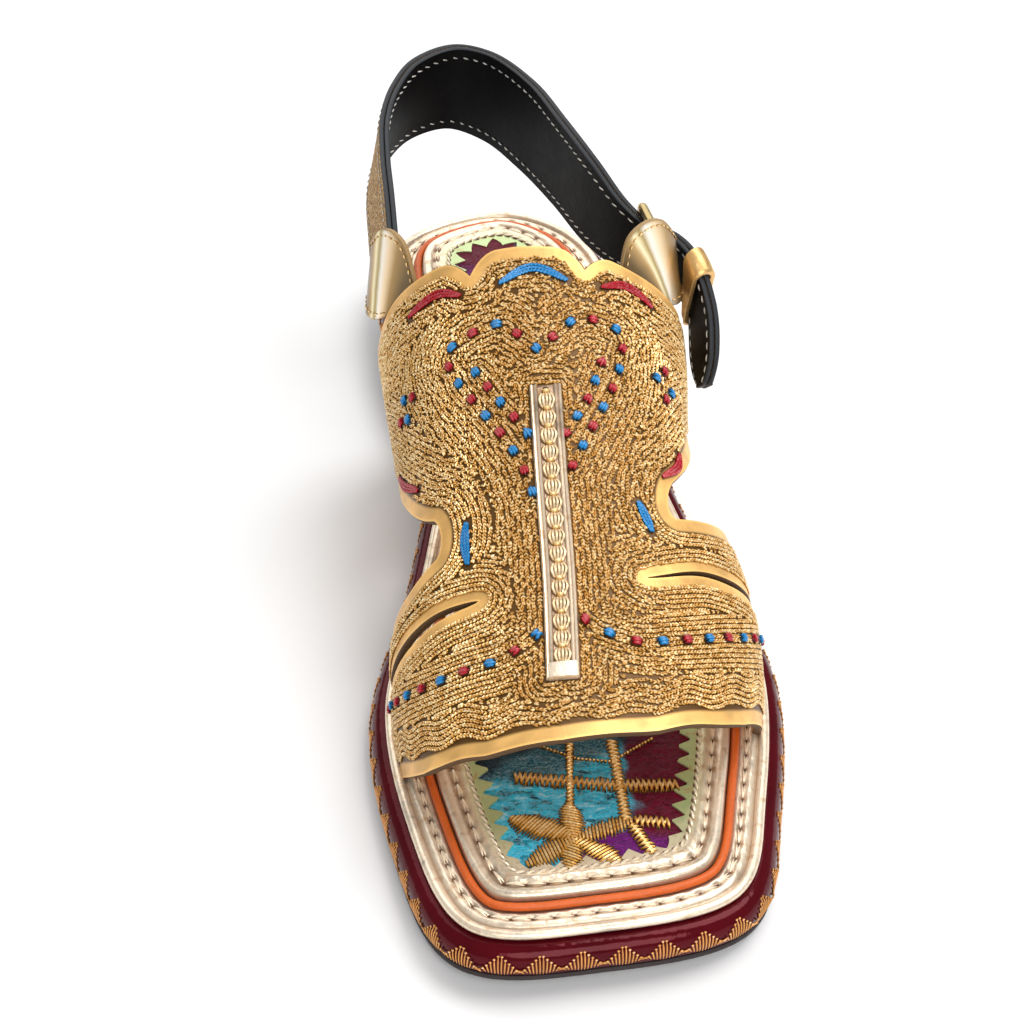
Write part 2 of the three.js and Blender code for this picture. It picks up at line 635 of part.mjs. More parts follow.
// Keeper: a gold loop with rounded ends, round the strap's tail
const KEEPER = { start: 0.818, end: 0.85, rows: 4, thick: 1.3, clear: 0.6, slack: 0.7 };
function keeper() {
  const turns = [-90, -45, 0, 45, 90].map(THREE.MathUtils.degToRad);
  const corners = [...turns.map((angle) => [0, angle]), ...turns.map((angle) => [1, -angle]), [0, turns[0]]];
  const face = (clear) => Array.from({ length: KEEPER.rows + 1 }, (_, k) => {
    const round = STRAP_THICK / 2 + clear;
    const t = THREE.MathUtils.lerp(KEEPER.start, KEEPER.end, k / KEEPER.rows);
    const [top, bottom] = [strapPoint(t, 0), strapPoint(t, 1)];
    const down = bottom.clone().sub(top).normalize();
    const along = strapPoint(t + 0.005, 0.5).sub(strapPoint(t - 0.005, 0.5));
    const out = down.clone().cross(along).normalize();
    return corners.map(([low, angle]) => {
      const reach = clear + KEEPER.slack + round * (Math.cos(angle) - 1);
      return (low ? bottom : top).clone()
        .addScaledVector(down, low ? reach : -reach)
        .addScaledVector(out, round * Math.sin(angle));
    });
  });
  return sheet(face(KEEPER.clear + KEEPER.thick), face(KEEPER.clear));
}

// The sandal, each piece with its own finish
const PIECES = [
  { name: "outsole", shape: outsole(), color: 0x1d1516, roughness: 0.6, metalness: 0 },
  { name: "midsole", shape: midsole(), color: 0x5a0f2a, roughness: 0.22, metalness: 0 },
  { name: "welt", shape: welt(), color: 0xd9bd8a, roughness: 0.35, metalness: 0.6 },
  { name: "piping", shape: piping(), color: 0xe0602a, roughness: 0.45, metalness: 0 },
  { name: "footbed", shape: footbed(), color: 0xd9bd8a, roughness: 0.35, metalness: 0.6 },
  { name: "insole_cloth", shape: insoleCloth(), color: 0x5b1440, roughness: 0.5, metalness: 0 },
  { name: "upper", shape: upper, color: 0xb8893c, roughness: 0.45, metalness: 0.4 },
  { name: "placket", shape: placket(), color: 0xd8b777, roughness: 0.35, metalness: 0.6 },
  { name: "tab_medial", shape: tab(TABS.medial, -1), color: 0xcfa75e, roughness: 0.35, metalness: 0.6 },
  { name: "tab_lateral", shape: tab(TABS.lateral, 1), color: 0xcfa75e, roughness: 0.35, metalness: 0.6 },
  { name: "heel_strap", shape: heelStrap(), color: 0x15171a, roughness: 0.5, metalness: 0 },
  { name: "buckle_frame", shape: buckleFrame(), color: 0xb9a36a, roughness: 0.25, metalness: 1 },
  { name: "buckle_prong", shape: buckleProng(), color: 0xb9a36a, roughness: 0.25, metalness: 1 },
  { name: "keeper", shape: keeper(), color: 0xcf9c4a, roughness: 0.35, metalness: 0.6 },
];

const sandal = new THREE.Group();
sandal.position.y = -ORIGIN_Y;
for (const { name, shape, ...finish } of PIECES) {
  const mesh = new THREE.Mesh(shape, new THREE.MeshStandardMaterial(finish));
  mesh.name = name;
  sandal.add(mesh);
}

export default sandal;
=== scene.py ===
"""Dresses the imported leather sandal: stitched leather, wrapped sole, printed cloth inlay and
buckled heel strap.

Lengths below are millimetres in the shoe's own layout, measured from the toe of the gold border;
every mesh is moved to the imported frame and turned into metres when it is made.
"""

import math
from types import SimpleNamespace

import bpy
import numpy as np
from bpy.props import FloatProperty, FloatVectorProperty, PointerProperty
from mathutils import Matrix, Vector, kdtree


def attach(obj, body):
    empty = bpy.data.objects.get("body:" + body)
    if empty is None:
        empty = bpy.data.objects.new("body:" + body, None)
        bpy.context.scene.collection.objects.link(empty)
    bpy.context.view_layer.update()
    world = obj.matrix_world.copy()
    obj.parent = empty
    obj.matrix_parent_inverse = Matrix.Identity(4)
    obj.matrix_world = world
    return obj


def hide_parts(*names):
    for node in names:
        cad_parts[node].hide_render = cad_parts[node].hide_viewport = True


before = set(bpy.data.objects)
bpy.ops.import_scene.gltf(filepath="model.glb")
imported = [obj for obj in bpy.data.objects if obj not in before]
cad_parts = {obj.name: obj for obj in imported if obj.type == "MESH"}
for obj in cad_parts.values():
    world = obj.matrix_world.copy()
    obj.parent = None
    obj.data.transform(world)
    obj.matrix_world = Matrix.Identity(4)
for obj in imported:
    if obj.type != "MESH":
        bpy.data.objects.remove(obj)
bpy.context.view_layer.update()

bl_info = {
    "name": "Leather sandal",
    "version": (1, 0, 0),
    "blender": (4, 5, 0),
    "location": "View3D > Sidebar > Sandal",
    "description": "Builds the looks of an embroidered leather sandal over its packed solids",
    "category": "Object",
}

# Shared sizes
MM = 0.001
ORIGIN_Y = 70.0
SEED = 20
WELT_TOP = 14.0
MIDSOLE_TOP = 11.8
GAP = 0.3
TOE_THIN = 2.2
UP = np.array((0, 0, 1.0))
FOOT_INSET = 2.0
FOOT_TUCK = 0.17
ROUNDNESS = 0.6
SIDE_DROP = 0.55
PIPING_INSET = 8.3
CORD_RADIUS = 1.05
STRAP_THICK = 2.8
TAB_THICK = 1.4
LEATHER = 2.2
WIRE_RADIUS = 1.3


def table(names, rows):
    """Columns of a short table by name."""
    return dict(zip(names.split(), np.array(rows, float).T))


# Outline of the gold border, toe middle first, then the lateral side, the heel and the medial side
OUTLINE = np.array([
    (-4.1, 0.5), (28.5, 7.8), (40.4, 38.2), (47.5, 84.7), (37.5, 127.3), (30.3, 174.7),
    (30.8, 234.3), (23, 264), (1.1, 278), (-27.6, 265.7), (-32.8, 234.4), (-25.4, 174.4),
    (-33.4, 127.3), (-46.7, 80.9), (-44.5, 37.6), (-33.8, 4.6),
])
LAST = table("y ridge_x ridge_z medial_swell lateral_swell widest_up", [
    (10, -11, 37, 0, 0, 4),
    (35, -9, 46.5, 0, 0, 5),
    (70, -6, 57, 0, 0, 8),
    (100, -4.5, 67, 2, 0, 14),
    (130, -3, 80, 8, 1, 24),
    (160, -2, 95.5, 15.5, 9, 30),
    (190, -1, 110, 18, 12, 32),
])
CUT = {
    "medial": table("across front slit leg_back wing_front top", [
        (0, 31.4, 70, 89, 95.5, 156.2),
        (0.15, 30.9, 70, 89, 95.5, 157.5),
        (0.3, 31.4, 70.7, 89, 95.5, 161.5),
        (0.45, 33.6, 72.2, 87.3, 101.5, 167.3),
        (0.6, 36.6, 73.2, 86.6, 116.5, 173.5),
        (0.8, 43.8, 75.8, 90, 142, 184),
        (1, 55, 80.5, 97, 160, 194),
    ]),
    "lateral": table("across front slit leg_back wing_front top", [
        (0, 31.4, 70, 89, 95.5, 156.2),
        (0.15, 31.9, 71.2, 89, 95.5, 155.5),
        (0.3, 33.2, 73.4, 89.5, 95.8, 156),
        (0.45, 36.4, 77.8, 93.4, 109, 160),
        (0.6, 40.2, 81.2, 99, 127, 168),
        (0.8, 49.5, 87.5, 107.5, 144, 181),
        (1, 60, 96.5, 116, 155, 192),
    ]),
}
SLIT_TIP = 0.275
SLIT_OPEN = {"medial": 1.6, "lateral": 0.9}
SLIT_TAPER = 0.3
NOTCH_ROUND = 0.03
NOTCH_TIP = {"medial": 0.385, "lateral": 0.355}
SCALLOP = {"medial": (0.162, 5.0), "lateral": (0.131, 4.5)}
SCALLOP_WIDE = 0.075
PLACKET_START = 46.0
PLACKET_END = 121.5
PLACKET_SHIFT = 0.5
PLACKET_HALF = 3.75

# Heel strap, both edges from the medial tab round the heel to the tip of its tail
STRAP_UPPER = np.array([
    (-35.6, 178, 85.5), (-35.3, 193, 87), (-35, 211.5, 87), (-33.5, 231, 87), (-29.4, 246.5, 87),
    (-22.5, 259, 87), (-11.7, 265, 87), (-2.2, 260.5, 87), (7.6, 244.4, 87), (13.9, 224, 87),
    (20, 203.7, 86.2), (26.3, 190.6, 81.5), (31.8, 184.6, 78.5), (38, 179.2, 78), (42.3, 171.2, 76),
    (45.4, 162, 67.5), (45.4, 153.8, 58.5), (44.6, 149, 52.5),
])
STRAP_LOWER = np.array([
    (-39.2, 179.5, 62), (-39.3, 193, 60), (-39, 212, 60), (-37.9, 234, 60), (-33.9, 250, 60),
    (-25.5, 262.6, 60), (-14, 267, 60), (-3.5, 259, 60), (5.5, 242.3, 60), (12.7, 224.2, 60),
    (19.2, 204, 60.2), (25.8, 189.6, 62), (32.2, 183.6, 63), (38.8, 178.4, 61.5), (42.8, 174, 56.5),
    (43.2, 173.6, 52), (42.6, 167, 45.5), (42, 160.5, 41),
])
# Tabs: where the flap leaves the wing, then the lines of its wrap from low edge to high edge
TABS = {
    "tab_medial": {"outward": -1, "flap": (-0.5, -0.365), "wrap": [
        ((-38.2, 171.2, 64.2), (-33.1, 170, 86.9)), ((-41.2, 172, 63), (-35.6, 173, 88.8)),
        ((-42.7, 174.8, 62.3), (-38.2, 177, 86.9)), ((-42.5, 179, 61.8), (-40.2, 181, 81.2)),
        ((-42, 183, 61.8), (-39, 185, 80.4))]},
    "tab_lateral": {"outward": 1, "flap": (0.47, 0.26), "wrap": [
        ((34.4, 163.5, 67.5), (22.9, 161, 90.8)), ((37, 165.5, 66.5), (27.5, 164.5, 92.8)),
        ((38.4, 169, 66), (32.1, 168, 90.8)), ((38.2, 172.6, 65.5), (36.3, 173, 81.5)),
        ((36.2, 174, 65.4), (33.6, 176, 79.5))]},
}
BUCKLE_BAR = {"low": (35.8, 170.8, 64.5), "high": (31.2, 173.6, 88)}
FLAP_UNDER = 5.0
FLAP_PAST_EDGE = 1.2

# Lines of coloured dots on the last, as places across and along, how many dots, and the
# first dot's thread
DOT_LINES = [
    {"path": [(-0.012, 131), (-0.06, 135.2), (-0.135, 138.8), (-0.222, 138.4), (-0.25, 131.5),
              (-0.212, 123), (-0.14, 112), (-0.085, 103), (-0.056, 95)], "dots": 13, "first": "blue"},
    {"path": [(0.035, 133.6), (0.075, 136.5), (0.131, 138.9), (0.2, 138.5), (0.23, 131.5), (0.2, 122.2),
              (0.137, 111.8), (0.069, 101)], "dots": 11, "first": "red"},
    {"path": [(-0.188, 129), (-0.131, 120), (-0.056, 110.2)], "dots": 5, "first": "blue"},
    {"path": [(0.172, 128.6), (0.125, 118.5), (0.056, 109.3)], "dots": 5, "first": "red"},
    {"path": [(-0.9, 72), (-0.662, 60.8), (-0.431, 54.8), (-0.244, 53.2), (-0.156, 54.8), (-0.081, 57.8)],
     "dots": 10, "first": "red"},
    {"path": [(0.081, 60.8), (0.137, 57.8), (0.256, 55.5), (0.394, 57.8), (0.588, 64.5), (0.806, 77.2),
              (0.9, 84)], "dots": 12, "first": "red"},
]
CROSSES = [
    {"centre": (-0.467, 136.4), "along": 2.9, "over": 0.045, "ends": "blue", "sides": "red"},
    {"centre": (0.402, 131.7), "along": 4.1, "over": 0.037, "ends": "red", "sides": "blue"},
]
CRESCENTS = [
    {"thread": "blue", "path": [(-0.09, 148.3), (-0.006, 150.8), (0.083, 147.8)]},
    {"thread": "red", "path": [(-0.37, 155.6), (-0.27, 153.6), (-0.194, 149.2)]},
    {"thread": "red", "path": [(0.175, 147.8), (0.27, 150.6), (0.344, 150)]},
    {"thread": "red", "path": [(-0.63, 129), (-0.569, 120.8), (-0.475, 112.4)]},
    {"thread": "red", "path": [(0.43, 112.6), (0.406, 107.2), (0.344, 102)]},
    {"thread": "blue", "path": [(-0.281, 92.2), (-0.294, 87), (-0.294, 81)]},
    {"thread": "blue", "path": [(0.256, 93), (0.275, 89.2), (0.294, 85.5)]},
]

# Gold work on the cloth, as start, end, half-width, how far the ends taper, and the strands' pitch
CLOTH_GOLD = [
    ((-6.6, 36.2), (-4.1, 57.4), 0.95, 0, 0.62), ((5.9, 31.1), (6.0, 57.2), 1.4, 0, 0.62),
    ((-18.5, 47.6), (5.4, 42.4), 2.1, 0, 0.6), ((5.4, 42.4), (19.5, 41.2), 2.1, 0, 0.6),
    ((-11.5, 57.4), (-3.1, 52.1), 0.35, 0, 0.9), ((-3.1, 52.1), (5, 50.2), 0.35, 0, 0.9),
    ((5, 50.2), (16, 57), 0.35, 0, 0.9),
    ((7.8, 31), (15.7, 29.2), 1.8, 0.3, 0.6), ((6.9, 29.5), (10.5, 19.8), 1.8, 0.3, 0.6),
    ((-6.9, 26.6), (-6.6, 38), 3.0, 0.7, 0.85), ((-6.8, 26.8), (-20.9, 34.8), 3.7, 0.7, 0.85),
    ((-6.8, 26.4), (-18.9, 19.4), 3.2, 0.7, 0.85), ((-7.0, 26.6), (-9.4, 16.9), 2.9, 0.7, 0.85),
    ((-6.8, 26.4), (2.6, 17.9), 2.9, 0.7, 0.85), ((-6.8, 26.6), (7.3, 30.9), 2.8, 0.7, 0.85),
]
# Clouds on the cloth as centre across, centre along and radius: blue and red are print, the last set is
# painted shadow under the upper.
CLOTH_CLOUDS = {
    "blue": [(-20, 35, 13), (-9, 45, 11), (0, 37, 8), (1, 53, 7), (-20, 24, 9), (14, 88, 16),
             (-18, 118, 14), (6, 160, 14), (-12, 206, 16), (12, 244, 12)],
    "red": [(16, 46, 12), (18, 34, 11), (20, 62, 14), (-12, 90, 16), (-10, 150, 18), (14, 200, 16),
            (-4, 258, 18)],
    "dusk": [(-19, 57, 11), (-10, 60, 11), (4, 66, 12), (0, 112, 18), (-4, 180, 16)],
}


def toe_spring(y):
    """Share of the toe's rise, from 0 at the ball of the foot to about 1 at the tip."""
    return np.maximum(0, (40 - y) / 44) ** 2


def lift(y):
    """Rise of the sole at the heel and its spring at the toe."""
    rise = np.clip((y - 90) / 130, 0, 1)
    return 8 * rise * rise * (3 - 2 * rise) + 2 * toe_spring(y)


def sole_height(height, y):
    """Height of a layer of the sole at a place along it: the bottom rises and thins towards the toe."""
    return height + TOE_THIN * toe_spring(y) * np.maximum(0, 1 - height / MIDSOLE_TOP) + lift(y)


def through(rows, key, name, at):
    """Smooth value of one column of a table, through all its rows."""
    x, v = rows[key], rows[name]
    slope = np.empty_like(v)
    slope[1:-1] = (v[2:] - v[:-2]) / (x[2:] - x[:-2])
    slope[0] = (v[1] - v[0]) / (x[1] - x[0])
    slope[-1] = (v[-1] - v[-2]) / (x[-1] - x[-2])
    i = np.clip(np.searchsorted(x, at, side="right") - 1, 0, len(x) - 2)
    span = x[i + 1] - x[i]
    t = (at - x[i]) / span
    start = v[i] * (1 + 2 * t) * (1 - t) ** 2 + slope[i] * span * t * (1 - t) ** 2
    end = v[i + 1] * t * t * (3 - 2 * t) - slope[i + 1] * span * t * t * (1 - t)
    return start + end


def unit(vectors):
    length = np.linalg.norm(vectors, axis=-1, keepdims=True)
    return vectors / np.maximum(length, 1e-9)


def mix(a, b, share):
    return a + (b - a) * share


def closed_curve(points, steps):
    """Smooth closed curve through points."""
    t = np.linspace(0, len(points), steps, endpoint=False)
    i = t.astype(int)
    u = (t - i)[:, None]
    p0, p1, p2, p3 = (points[(i + k) % len(points)] for k in (-1, 0, 1, 2))
    bend = (2 * p0 - 5 * p1 + 4 * p2 - p3) * u ** 2 + (3 * p1 - p0 - 3 * p2 + p3) * u ** 3
    return 0.5 * (2 * p1 + (p2 - p0) * u + bend)


def open_curve(points, t):
    """Smooth curve through points, even in time from knot to knot, with t from 0 to 1."""
    points = np.asarray(points, float)
    padded = np.concatenate([2 * points[:1] - points[1:2], points, 2 * points[-1:] - points[-2:-1]])
    place = np.clip(np.asarray(t, float), 0, 1) * (len(points) - 1)
    i = np.minimum(place.astype(int), len(points) - 2)
    u = (place - i)[:, None]
    p0, p1, p2, p3 = (padded[i + k] for k in range(4))
    d0, d1, d2 = (np.maximum(np.linalg.norm(b - a, axis=1), 1e-6)[:, None] ** 0.5
                  for a, b in ((p0, p1), (p1, p2), (p2, p3)))
    m1 = d1 * ((p1 - p0) / d0 - (p2 - p0) / (d0 + d1) + (p2 - p1) / d1)
    m2 = d1 * ((p2 - p1) / d1 - (p3 - p1) / (d1 + d2) + (p3 - p2) / d2)
    cubic = (2 * p1 - 2 * p2 + m1 + m2) * u ** 3
    return p1 + m1 * u + (-3 * p1 + 3 * p2 - 2 * m1 - m2) * u ** 2 + cubic


# Loops round the sole
OUTLINE_STEPS = 80
FINE = 10


def loop_inside(inset):
    """Closed loop a set distance inside the border's outline, eased where it is far inside."""
    points = closed_curve(OUTLINE, OUTLINE_STEPS)
    along = unit(np.roll(points, -1, 0) - np.roll(points, 1, 0))
    loop = points + inset * np.stack([-along[:, 1], along[:, 0]], 1)
    if inset > 15:
        for _ in range(6):
            loop = (np.roll(loop, 1, 0) + 2 * loop + np.roll(loop, -1, 0)) / 4
    return closed_curve(loop, OUTLINE_STEPS * FINE)


def raised(loop, height):
    return np.column_stack([loop, sole_height(height, loop[:, 1])])


def ring_faces(rows, columns, closed_rows=True):
    """Quads of a grid whose columns close on themselves, and its rows too where asked."""
    i, j = np.meshgrid(np.arange(rows if closed_rows else rows - 1), np.arange(columns), indexing="ij")
    a = i * columns + j
    b = i * columns + (j + 1) % columns
    up = (i + 1) % rows
    return np.stack([a, b, up * columns + (j + 1) % columns, up * columns + j], -1).reshape(-1, 4)


def smooth_profile(profile, times):
    return open_curve(np.array(profile, float), np.linspace(0, 1, (len(profile) - 1) * times + 1))


def swept_profile(profile):
    """Grid of points for a closed section of insets and heights, swept round the sole."""
    return np.stack([raised(loop_inside(inset), z) for inset, z in profile])


# The last, which is the leather's outer face
class LastSurface:
    """Points and normals of the last on a fine grid, read between grid lines."""

    def __init__(self):
        self.ys = np.arange(8, 200.25, 0.5)
        self.ws = np.linspace(-1, 1, 401)
        foot = loop_inside(FOOT_INSET)
        grid = np.empty((len(self.ys), len(self.ws), 3))
        self.half_girth = {}
        for side, outward in (("medial", -1), ("lateral", 1)):
            line = foot[foot[:, 0] * outward > 8]
            line = line[np.argsort(line[:, 1])]
            foot_x = np.interp(self.ys, line[:, 1], line[:, 0])
            points = self.half_section(side, outward, foot_x)
            steps = np.linalg.norm(np.diff(points, axis=1), axis=2)
            lengths = np.concatenate([np.zeros((len(self.ys), 1)), np.cumsum(steps, 1)], 1)
            self.half_girth[side] = lengths[:, -1]
            columns = np.nonzero(self.ws * outward >= 0)[0]
            for k, y in enumerate(self.ys):
                share = np.abs(self.ws[columns]) * lengths[k, -1]
                grid[k, columns, 0] = np.interp(share, lengths[k], points[k, :, 0])
                grid[k, columns, 1] = y
                grid[k, columns, 2] = np.interp(share, lengths[k], points[k, :, 1])
        self.grid = grid
        self.normals = unit(np.cross(np.gradient(grid, axis=1), np.gradient(grid, axis=0)))

    def half_section(self, side, outward, foot_x):
        station = {name: through(LAST, "y", name, self.ys) for name in LAST if name != "y"}
        swell = outward * station[side + "_swell"]
        ridge = np.stack([station["ridge_x"], station["ridge_z"]], 1)
        foot = np.stack([foot_x - FOOT_TUCK * swell, MIDSOLE_TOP + GAP + lift(self.ys)], 1)
        widest = np.stack([foot_x + swell, foot[:, 1] + station["widest_up"]], 1)
        over = np.stack([mix(ridge[:, 0], widest[:, 0], ROUNDNESS), ridge[:, 1]], 1)
        down = np.stack([widest[:, 0], mix(widest[:, 1], ridge[:, 1], ROUNDNESS)], 1)
        tuck = np.stack([widest[:, 0], widest[:, 1] - SIDE_DROP * station["widest_up"]], 1)
        t = np.linspace(0, 1, 49)[None, :, None]
        above = (1 - t) ** 3 * ridge[:, None] + 3 * t * (1 - t) ** 2 * over[:, None]
        above = above + 3 * t * t * (1 - t) * down[:, None] + t ** 3 * widest[:, None]
        below = (1 - t) ** 2 * widest[:, None] + 2 * t * (1 - t) * tuck[:, None] + t * t * foot[:, None]
        return np.concatenate([above, below[:, 1:]], 1)

    def read(self, field, across, y):
        across, y = np.broadcast_arrays(np.asarray(across, float), np.asarray(y, float))
        u = np.clip((across + 1) * 200, 0, 399.999)
        v = np.clip((y - self.ys[0]) * 2, 0, len(self.ys) - 1.001)
        j, i = u.astype(int), v.astype(int)
        s, t = (u - j)[..., None], (v - i)[..., None]
        near = mix(field[i, j], field[i, j + 1], s)
        return mix(near, mix(field[i + 1, j], field[i + 1, j + 1], s), t)

    def normal(self, across, y):
        return unit(self.read(self.normals, across, y))

    def at(self, across, y, height=0.0):
        return self.read(self.grid, across, y) + np.asarray(height)[..., None] * self.normal(across, y)

    def girth(self, across, y):
        """Length over the leather from the ridge, negative on the medial side."""
        half = np.where(across < 0, np.interp(y, self.ys, self.half_girth["medial"]),
                        np.interp(y, self.ys, self.half_girth["lateral"]))
        return across * half

    def across_at(self, girth, y):
        half = np.where(girth < 0, np.interp(y, self.ys, self.half_girth["medial"]),
                        np.interp(y, self.ys, self.half_girth["lateral"]))
        return girth / half


last = LastSurface()


def by_side(across, medial, lateral):
    return np.where(across < 0, medial, lateral)


def leather_edges(across):
    """Edges of the leather at places across, from the toe to the instep."""
    w = np.abs(across)
    edge = {name: by_side(across, *(through(CUT[side], "across", name, w)
                                     for side in ("medial", "lateral")))
            for name in ("front", "slit", "leg_back", "wing_front", "top")}
    reach = np.sqrt(np.clip((w - SLIT_TIP) / SLIT_TAPER, 0, 1))
    slit_open = by_side(across, SLIT_OPEN["medial"], SLIT_OPEN["lateral"]) * reach
    tip = by_side(across, NOTCH_TIP["medial"], NOTCH_TIP["lateral"])
    notch_open = np.sqrt(1 - (1 - np.clip((w - tip) / NOTCH_ROUND, 0, 1)) ** 2)
    middle = (edge["leg_back"] + edge["wing_front"]) / 2
    valley, deep = (by_side(across, SCALLOP["medial"][k], SCALLOP["lateral"][k]) for k in (0, 1))
    dip = deep * (1 - np.minimum(1, np.abs(w - valley) / SCALLOP_WIDE)) ** 2
    wave = 0.5 * np.abs(np.sin(math.pi * across * 2.9))
    return {
        "front": edge["front"] + wave,
        "slit_front": edge["slit"] - slit_open,
        "slit_back": edge["slit"] + slit_open,
        "leg_back": mix(middle, edge["leg_back"], notch_open),
        "wing_front": mix(middle, edge["wing_front"], notch_open),
        "top": edge["top"] - dip,
    }


# Meshes from arrays
def sheet_mesh(outer, inner, keeps=None, roll=0.25):
    """Sheet between two grids of points: merged points, faces of outer side, inner side and
    rolled rim."""
    rows, columns = outer.shape[:2]
    flat = outer.reshape(-1, 3)
    _, first, names = np.unique(np.round(flat, 3), axis=0, return_index=True, return_inverse=True)
    names = names.reshape(rows, columns)
    quads = np.stack([names[:-1, :-1], names[:-1, 1:], names[1:, 1:], names[1:, :-1]], -1)
    if keeps is not None:
        quads = quads[keeps]
    quads = quads.reshape(-1, 4)
    tris = np.concatenate([quads[:, [0, 1, 2]], quads[:, [0, 2, 3]]])
    same = (tris[:, 0] == tris[:, 1]) | (tris[:, 1] == tris[:, 2]) | (tris[:, 2] == tris[:, 0])
    tris = tris[~same]
    top, low = flat[first], inner.reshape(-1, 3)[first]
    n = len(first)
    edges = np.concatenate([tris[:, [0, 1]], tris[:, [1, 2]], tris[:, [2, 0]]])
    code = edges[:, 0] * n + edges[:, 1]
    rim = edges[~np.isin(code, edges[:, 1] * n + edges[:, 0])]
    thick = unit(top - low)
    out = np.zeros_like(top)
    for end in (0, 1):
        np.add.at(out, rim[:, end], np.cross(unit(top[rim[:, 1]] - top[rim[:, 0]]), thick[rim[:, end]]))
    out = unit(out) * roll
    points = np.concatenate([top, mix(top, low, 0.2) + out, mix(top, low, 0.8) + out, low])
    walls = [np.stack([rim[:, 1] + k * n, rim[:, 0] + k * n, rim[:, 0] + (k + 1) * n,
                       rim[:, 1] + (k + 1) * n], 1) for k in range(3)]
    return points, tris, tris[:, ::-1] + 3 * n, np.concatenate(walls), n


def tidy_points(points, faces):
    """Only the points that faces use, with the faces renumbered."""
    used = np.unique(np.concatenate([f.ravel() for f in faces]))
    renamed = np.full(len(points), -1)
    renamed[used] = np.arange(len(used))
    return points[used], [renamed[f] for f in faces], used


def mesh_object(name, points, faces, finishes, finish_of=None, marks=None, moved=True):
    """Object from points in millimetres and groups of faces; marks are named numbers on the points."""
    points, faces, used = tidy_points(np.asarray(points, float), faces)
    mesh = bpy.data.meshes.new(name)
    place = (points - (0, ORIGIN_Y if moved else 0, 0)) * MM
    corners = np.concatenate([f.ravel() for f in faces]).astype(np.int32)
    sizes = np.concatenate([np.full(len(f), f.shape[1]) for f in faces])
    mesh.vertices.add(len(points))
    mesh.vertices.foreach_set("co", place.astype(np.float32).ravel())
    mesh.loops.add(len(corners))
    mesh.loops.foreach_set("vertex_index", corners)
    mesh.polygons.add(len(sizes))
    mesh.polygons.foreach_set("loop_start", (np.cumsum(sizes) - sizes).astype(np.int32))
    if finish_of is not None:
        kinds = np.concatenate([np.full(len(f), kind) for f, kind in zip(faces, finish_of)])
        mesh.polygons.foreach_set("material_index", kinds.astype(np.int32))
    mesh.update(calc_edges=True)
    mesh.shade_smooth()
    for label, values in (marks or {}).items():
        layer = mesh.attributes.new(label, "FLOAT", "POINT")
        layer.data.foreach_set("value", np.asarray(values, np.float32)[used])
    for finish in finishes:
        mesh.materials.append(finish)
    piece = bpy.data.objects.new(name, mesh)
    bpy.context.scene.collection.objects.link(piece)
    return piece


def add_piece(name, points, faces, finishes, slot, stands_for=(), sharp=50, **more):
    """A piece of the sandal: it rides on the root body and stands for the solids named."""
    piece = mesh_object(name, points, faces, finishes, **more)
    piece.data.set_sharp_from_angle(angle=math.radians(sharp))
    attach(piece, "root")
    if stands_for:
        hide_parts(*stands_for)
    return piece


# Threads: short twists for rows of embroidery, and arched strands for straight stitches
def bead_shape(length, radius, sides=5):
    """One twist of thread: a short spindle."""
    b = np.arange(sides) * 2 * math.pi / sides
    ring = np.stack([np.full(sides, length * 0.22), radius * np.cos(b), radius * np.sin(b)], 1)
    points = np.concatenate([[(-length / 2, 0, 0)], ring * (-1, 1, 1), ring, [(length / 2, 0, 0)]])
    near = 1 + np.arange(sides)
    beside = np.roll(near, -1)
    tail = np.stack([np.zeros(sides, int), beside, near], 1)
    head = np.stack([np.full(sides, 2 * sides + 1), near + sides, beside + sides], 1)
    return points, np.concatenate([tail, head]), np.stack([near, beside, beside + sides, near + sides], 1)


def strand_shape(length, radius, arch=0.3, rings=5, sides=6):
    """One straight stitch: a strand that rises from the leather, runs along it and goes back in."""
    t = np.linspace(-1, 1, rings)
    thin = np.sqrt(np.maximum(1 - (0.93 * t) ** 4, 0))
    b = np.arange(sides) * 2 * math.pi / sides
    x = np.repeat(t * length / 2, sides)
    y = (radius * thin[:, None] * np.cos(b)).ravel()
    z = (radius * thin[:, None] * np.sin(b) + (arch * (1 - t ** 2))[:, None]).ravel()
    faces = ring_faces(rings, sides, closed_rows=False)
    caps = np.array([np.arange(sides)[::-1], (rings - 1) * sides + np.arange(sides)])
    return np.stack([x, y, z], 1), faces, caps


def stamp(shape, centres, along, normals, stretch=None):
    """Copies of a small shape set at centres, its x along the given lines and its z along the normals."""
    points, *faces = shape
    normals = unit(np.broadcast_to(normals, centres.shape))
    along = unit(along - normals * np.sum(along * normals, -1, keepdims=True))
    side = np.cross(normals, along)
    local = points[None] * (np.ones((len(centres), 3)) if stretch is None else stretch)[:, None]
    placed = centres[:, None] + local[..., :1] * along[:, None] + local[..., 1:2] * side[:, None]
    placed = placed + local[..., 2:] * normals[:, None]
    step = np.arange(len(centres))[:, None, None] * len(points)
    return placed.reshape(-1, 3), [(f[None] + step).reshape(-1, f.shape[1]) for f in faces]


def joined(parts):
    """Several stamped groups as one set of points and faces."""
    points, faces, count = [], [], 0
    for group, group_faces in parts:
        points.append(group)
        faces.extend(f + count for f in group_faces)
        count += len(group)
    return np.concatenate(points), faces


def even_stops(path, pitch, closed=False, offset=0.5):
    """Points, directions and share of the way at even steps along a line of points."""
    path = np.asarray(path, float)
    if closed:
        path = np.concatenate([path, path[:1]])
    lengths = np.concatenate([[0], np.cumsum(np.linalg.norm(np.diff(path, axis=0), axis=1))])
    count = max(1, int(round(lengths[-1] / pitch)))
    stops = (np.arange(count) + offset) * lengths[-1] / count
    at = lambda s: np.stack([np.interp(s, lengths, path[:, k]) for k in range(3)], 1)
    near = lengths[-1] / count * 0.3
    ahead = at(np.minimum(stops + near, lengths[-1]))
    behind = at(np.maximum(stops - near, 0))
    return at(stops), unit(ahead - behind), stops / lengths[-1]


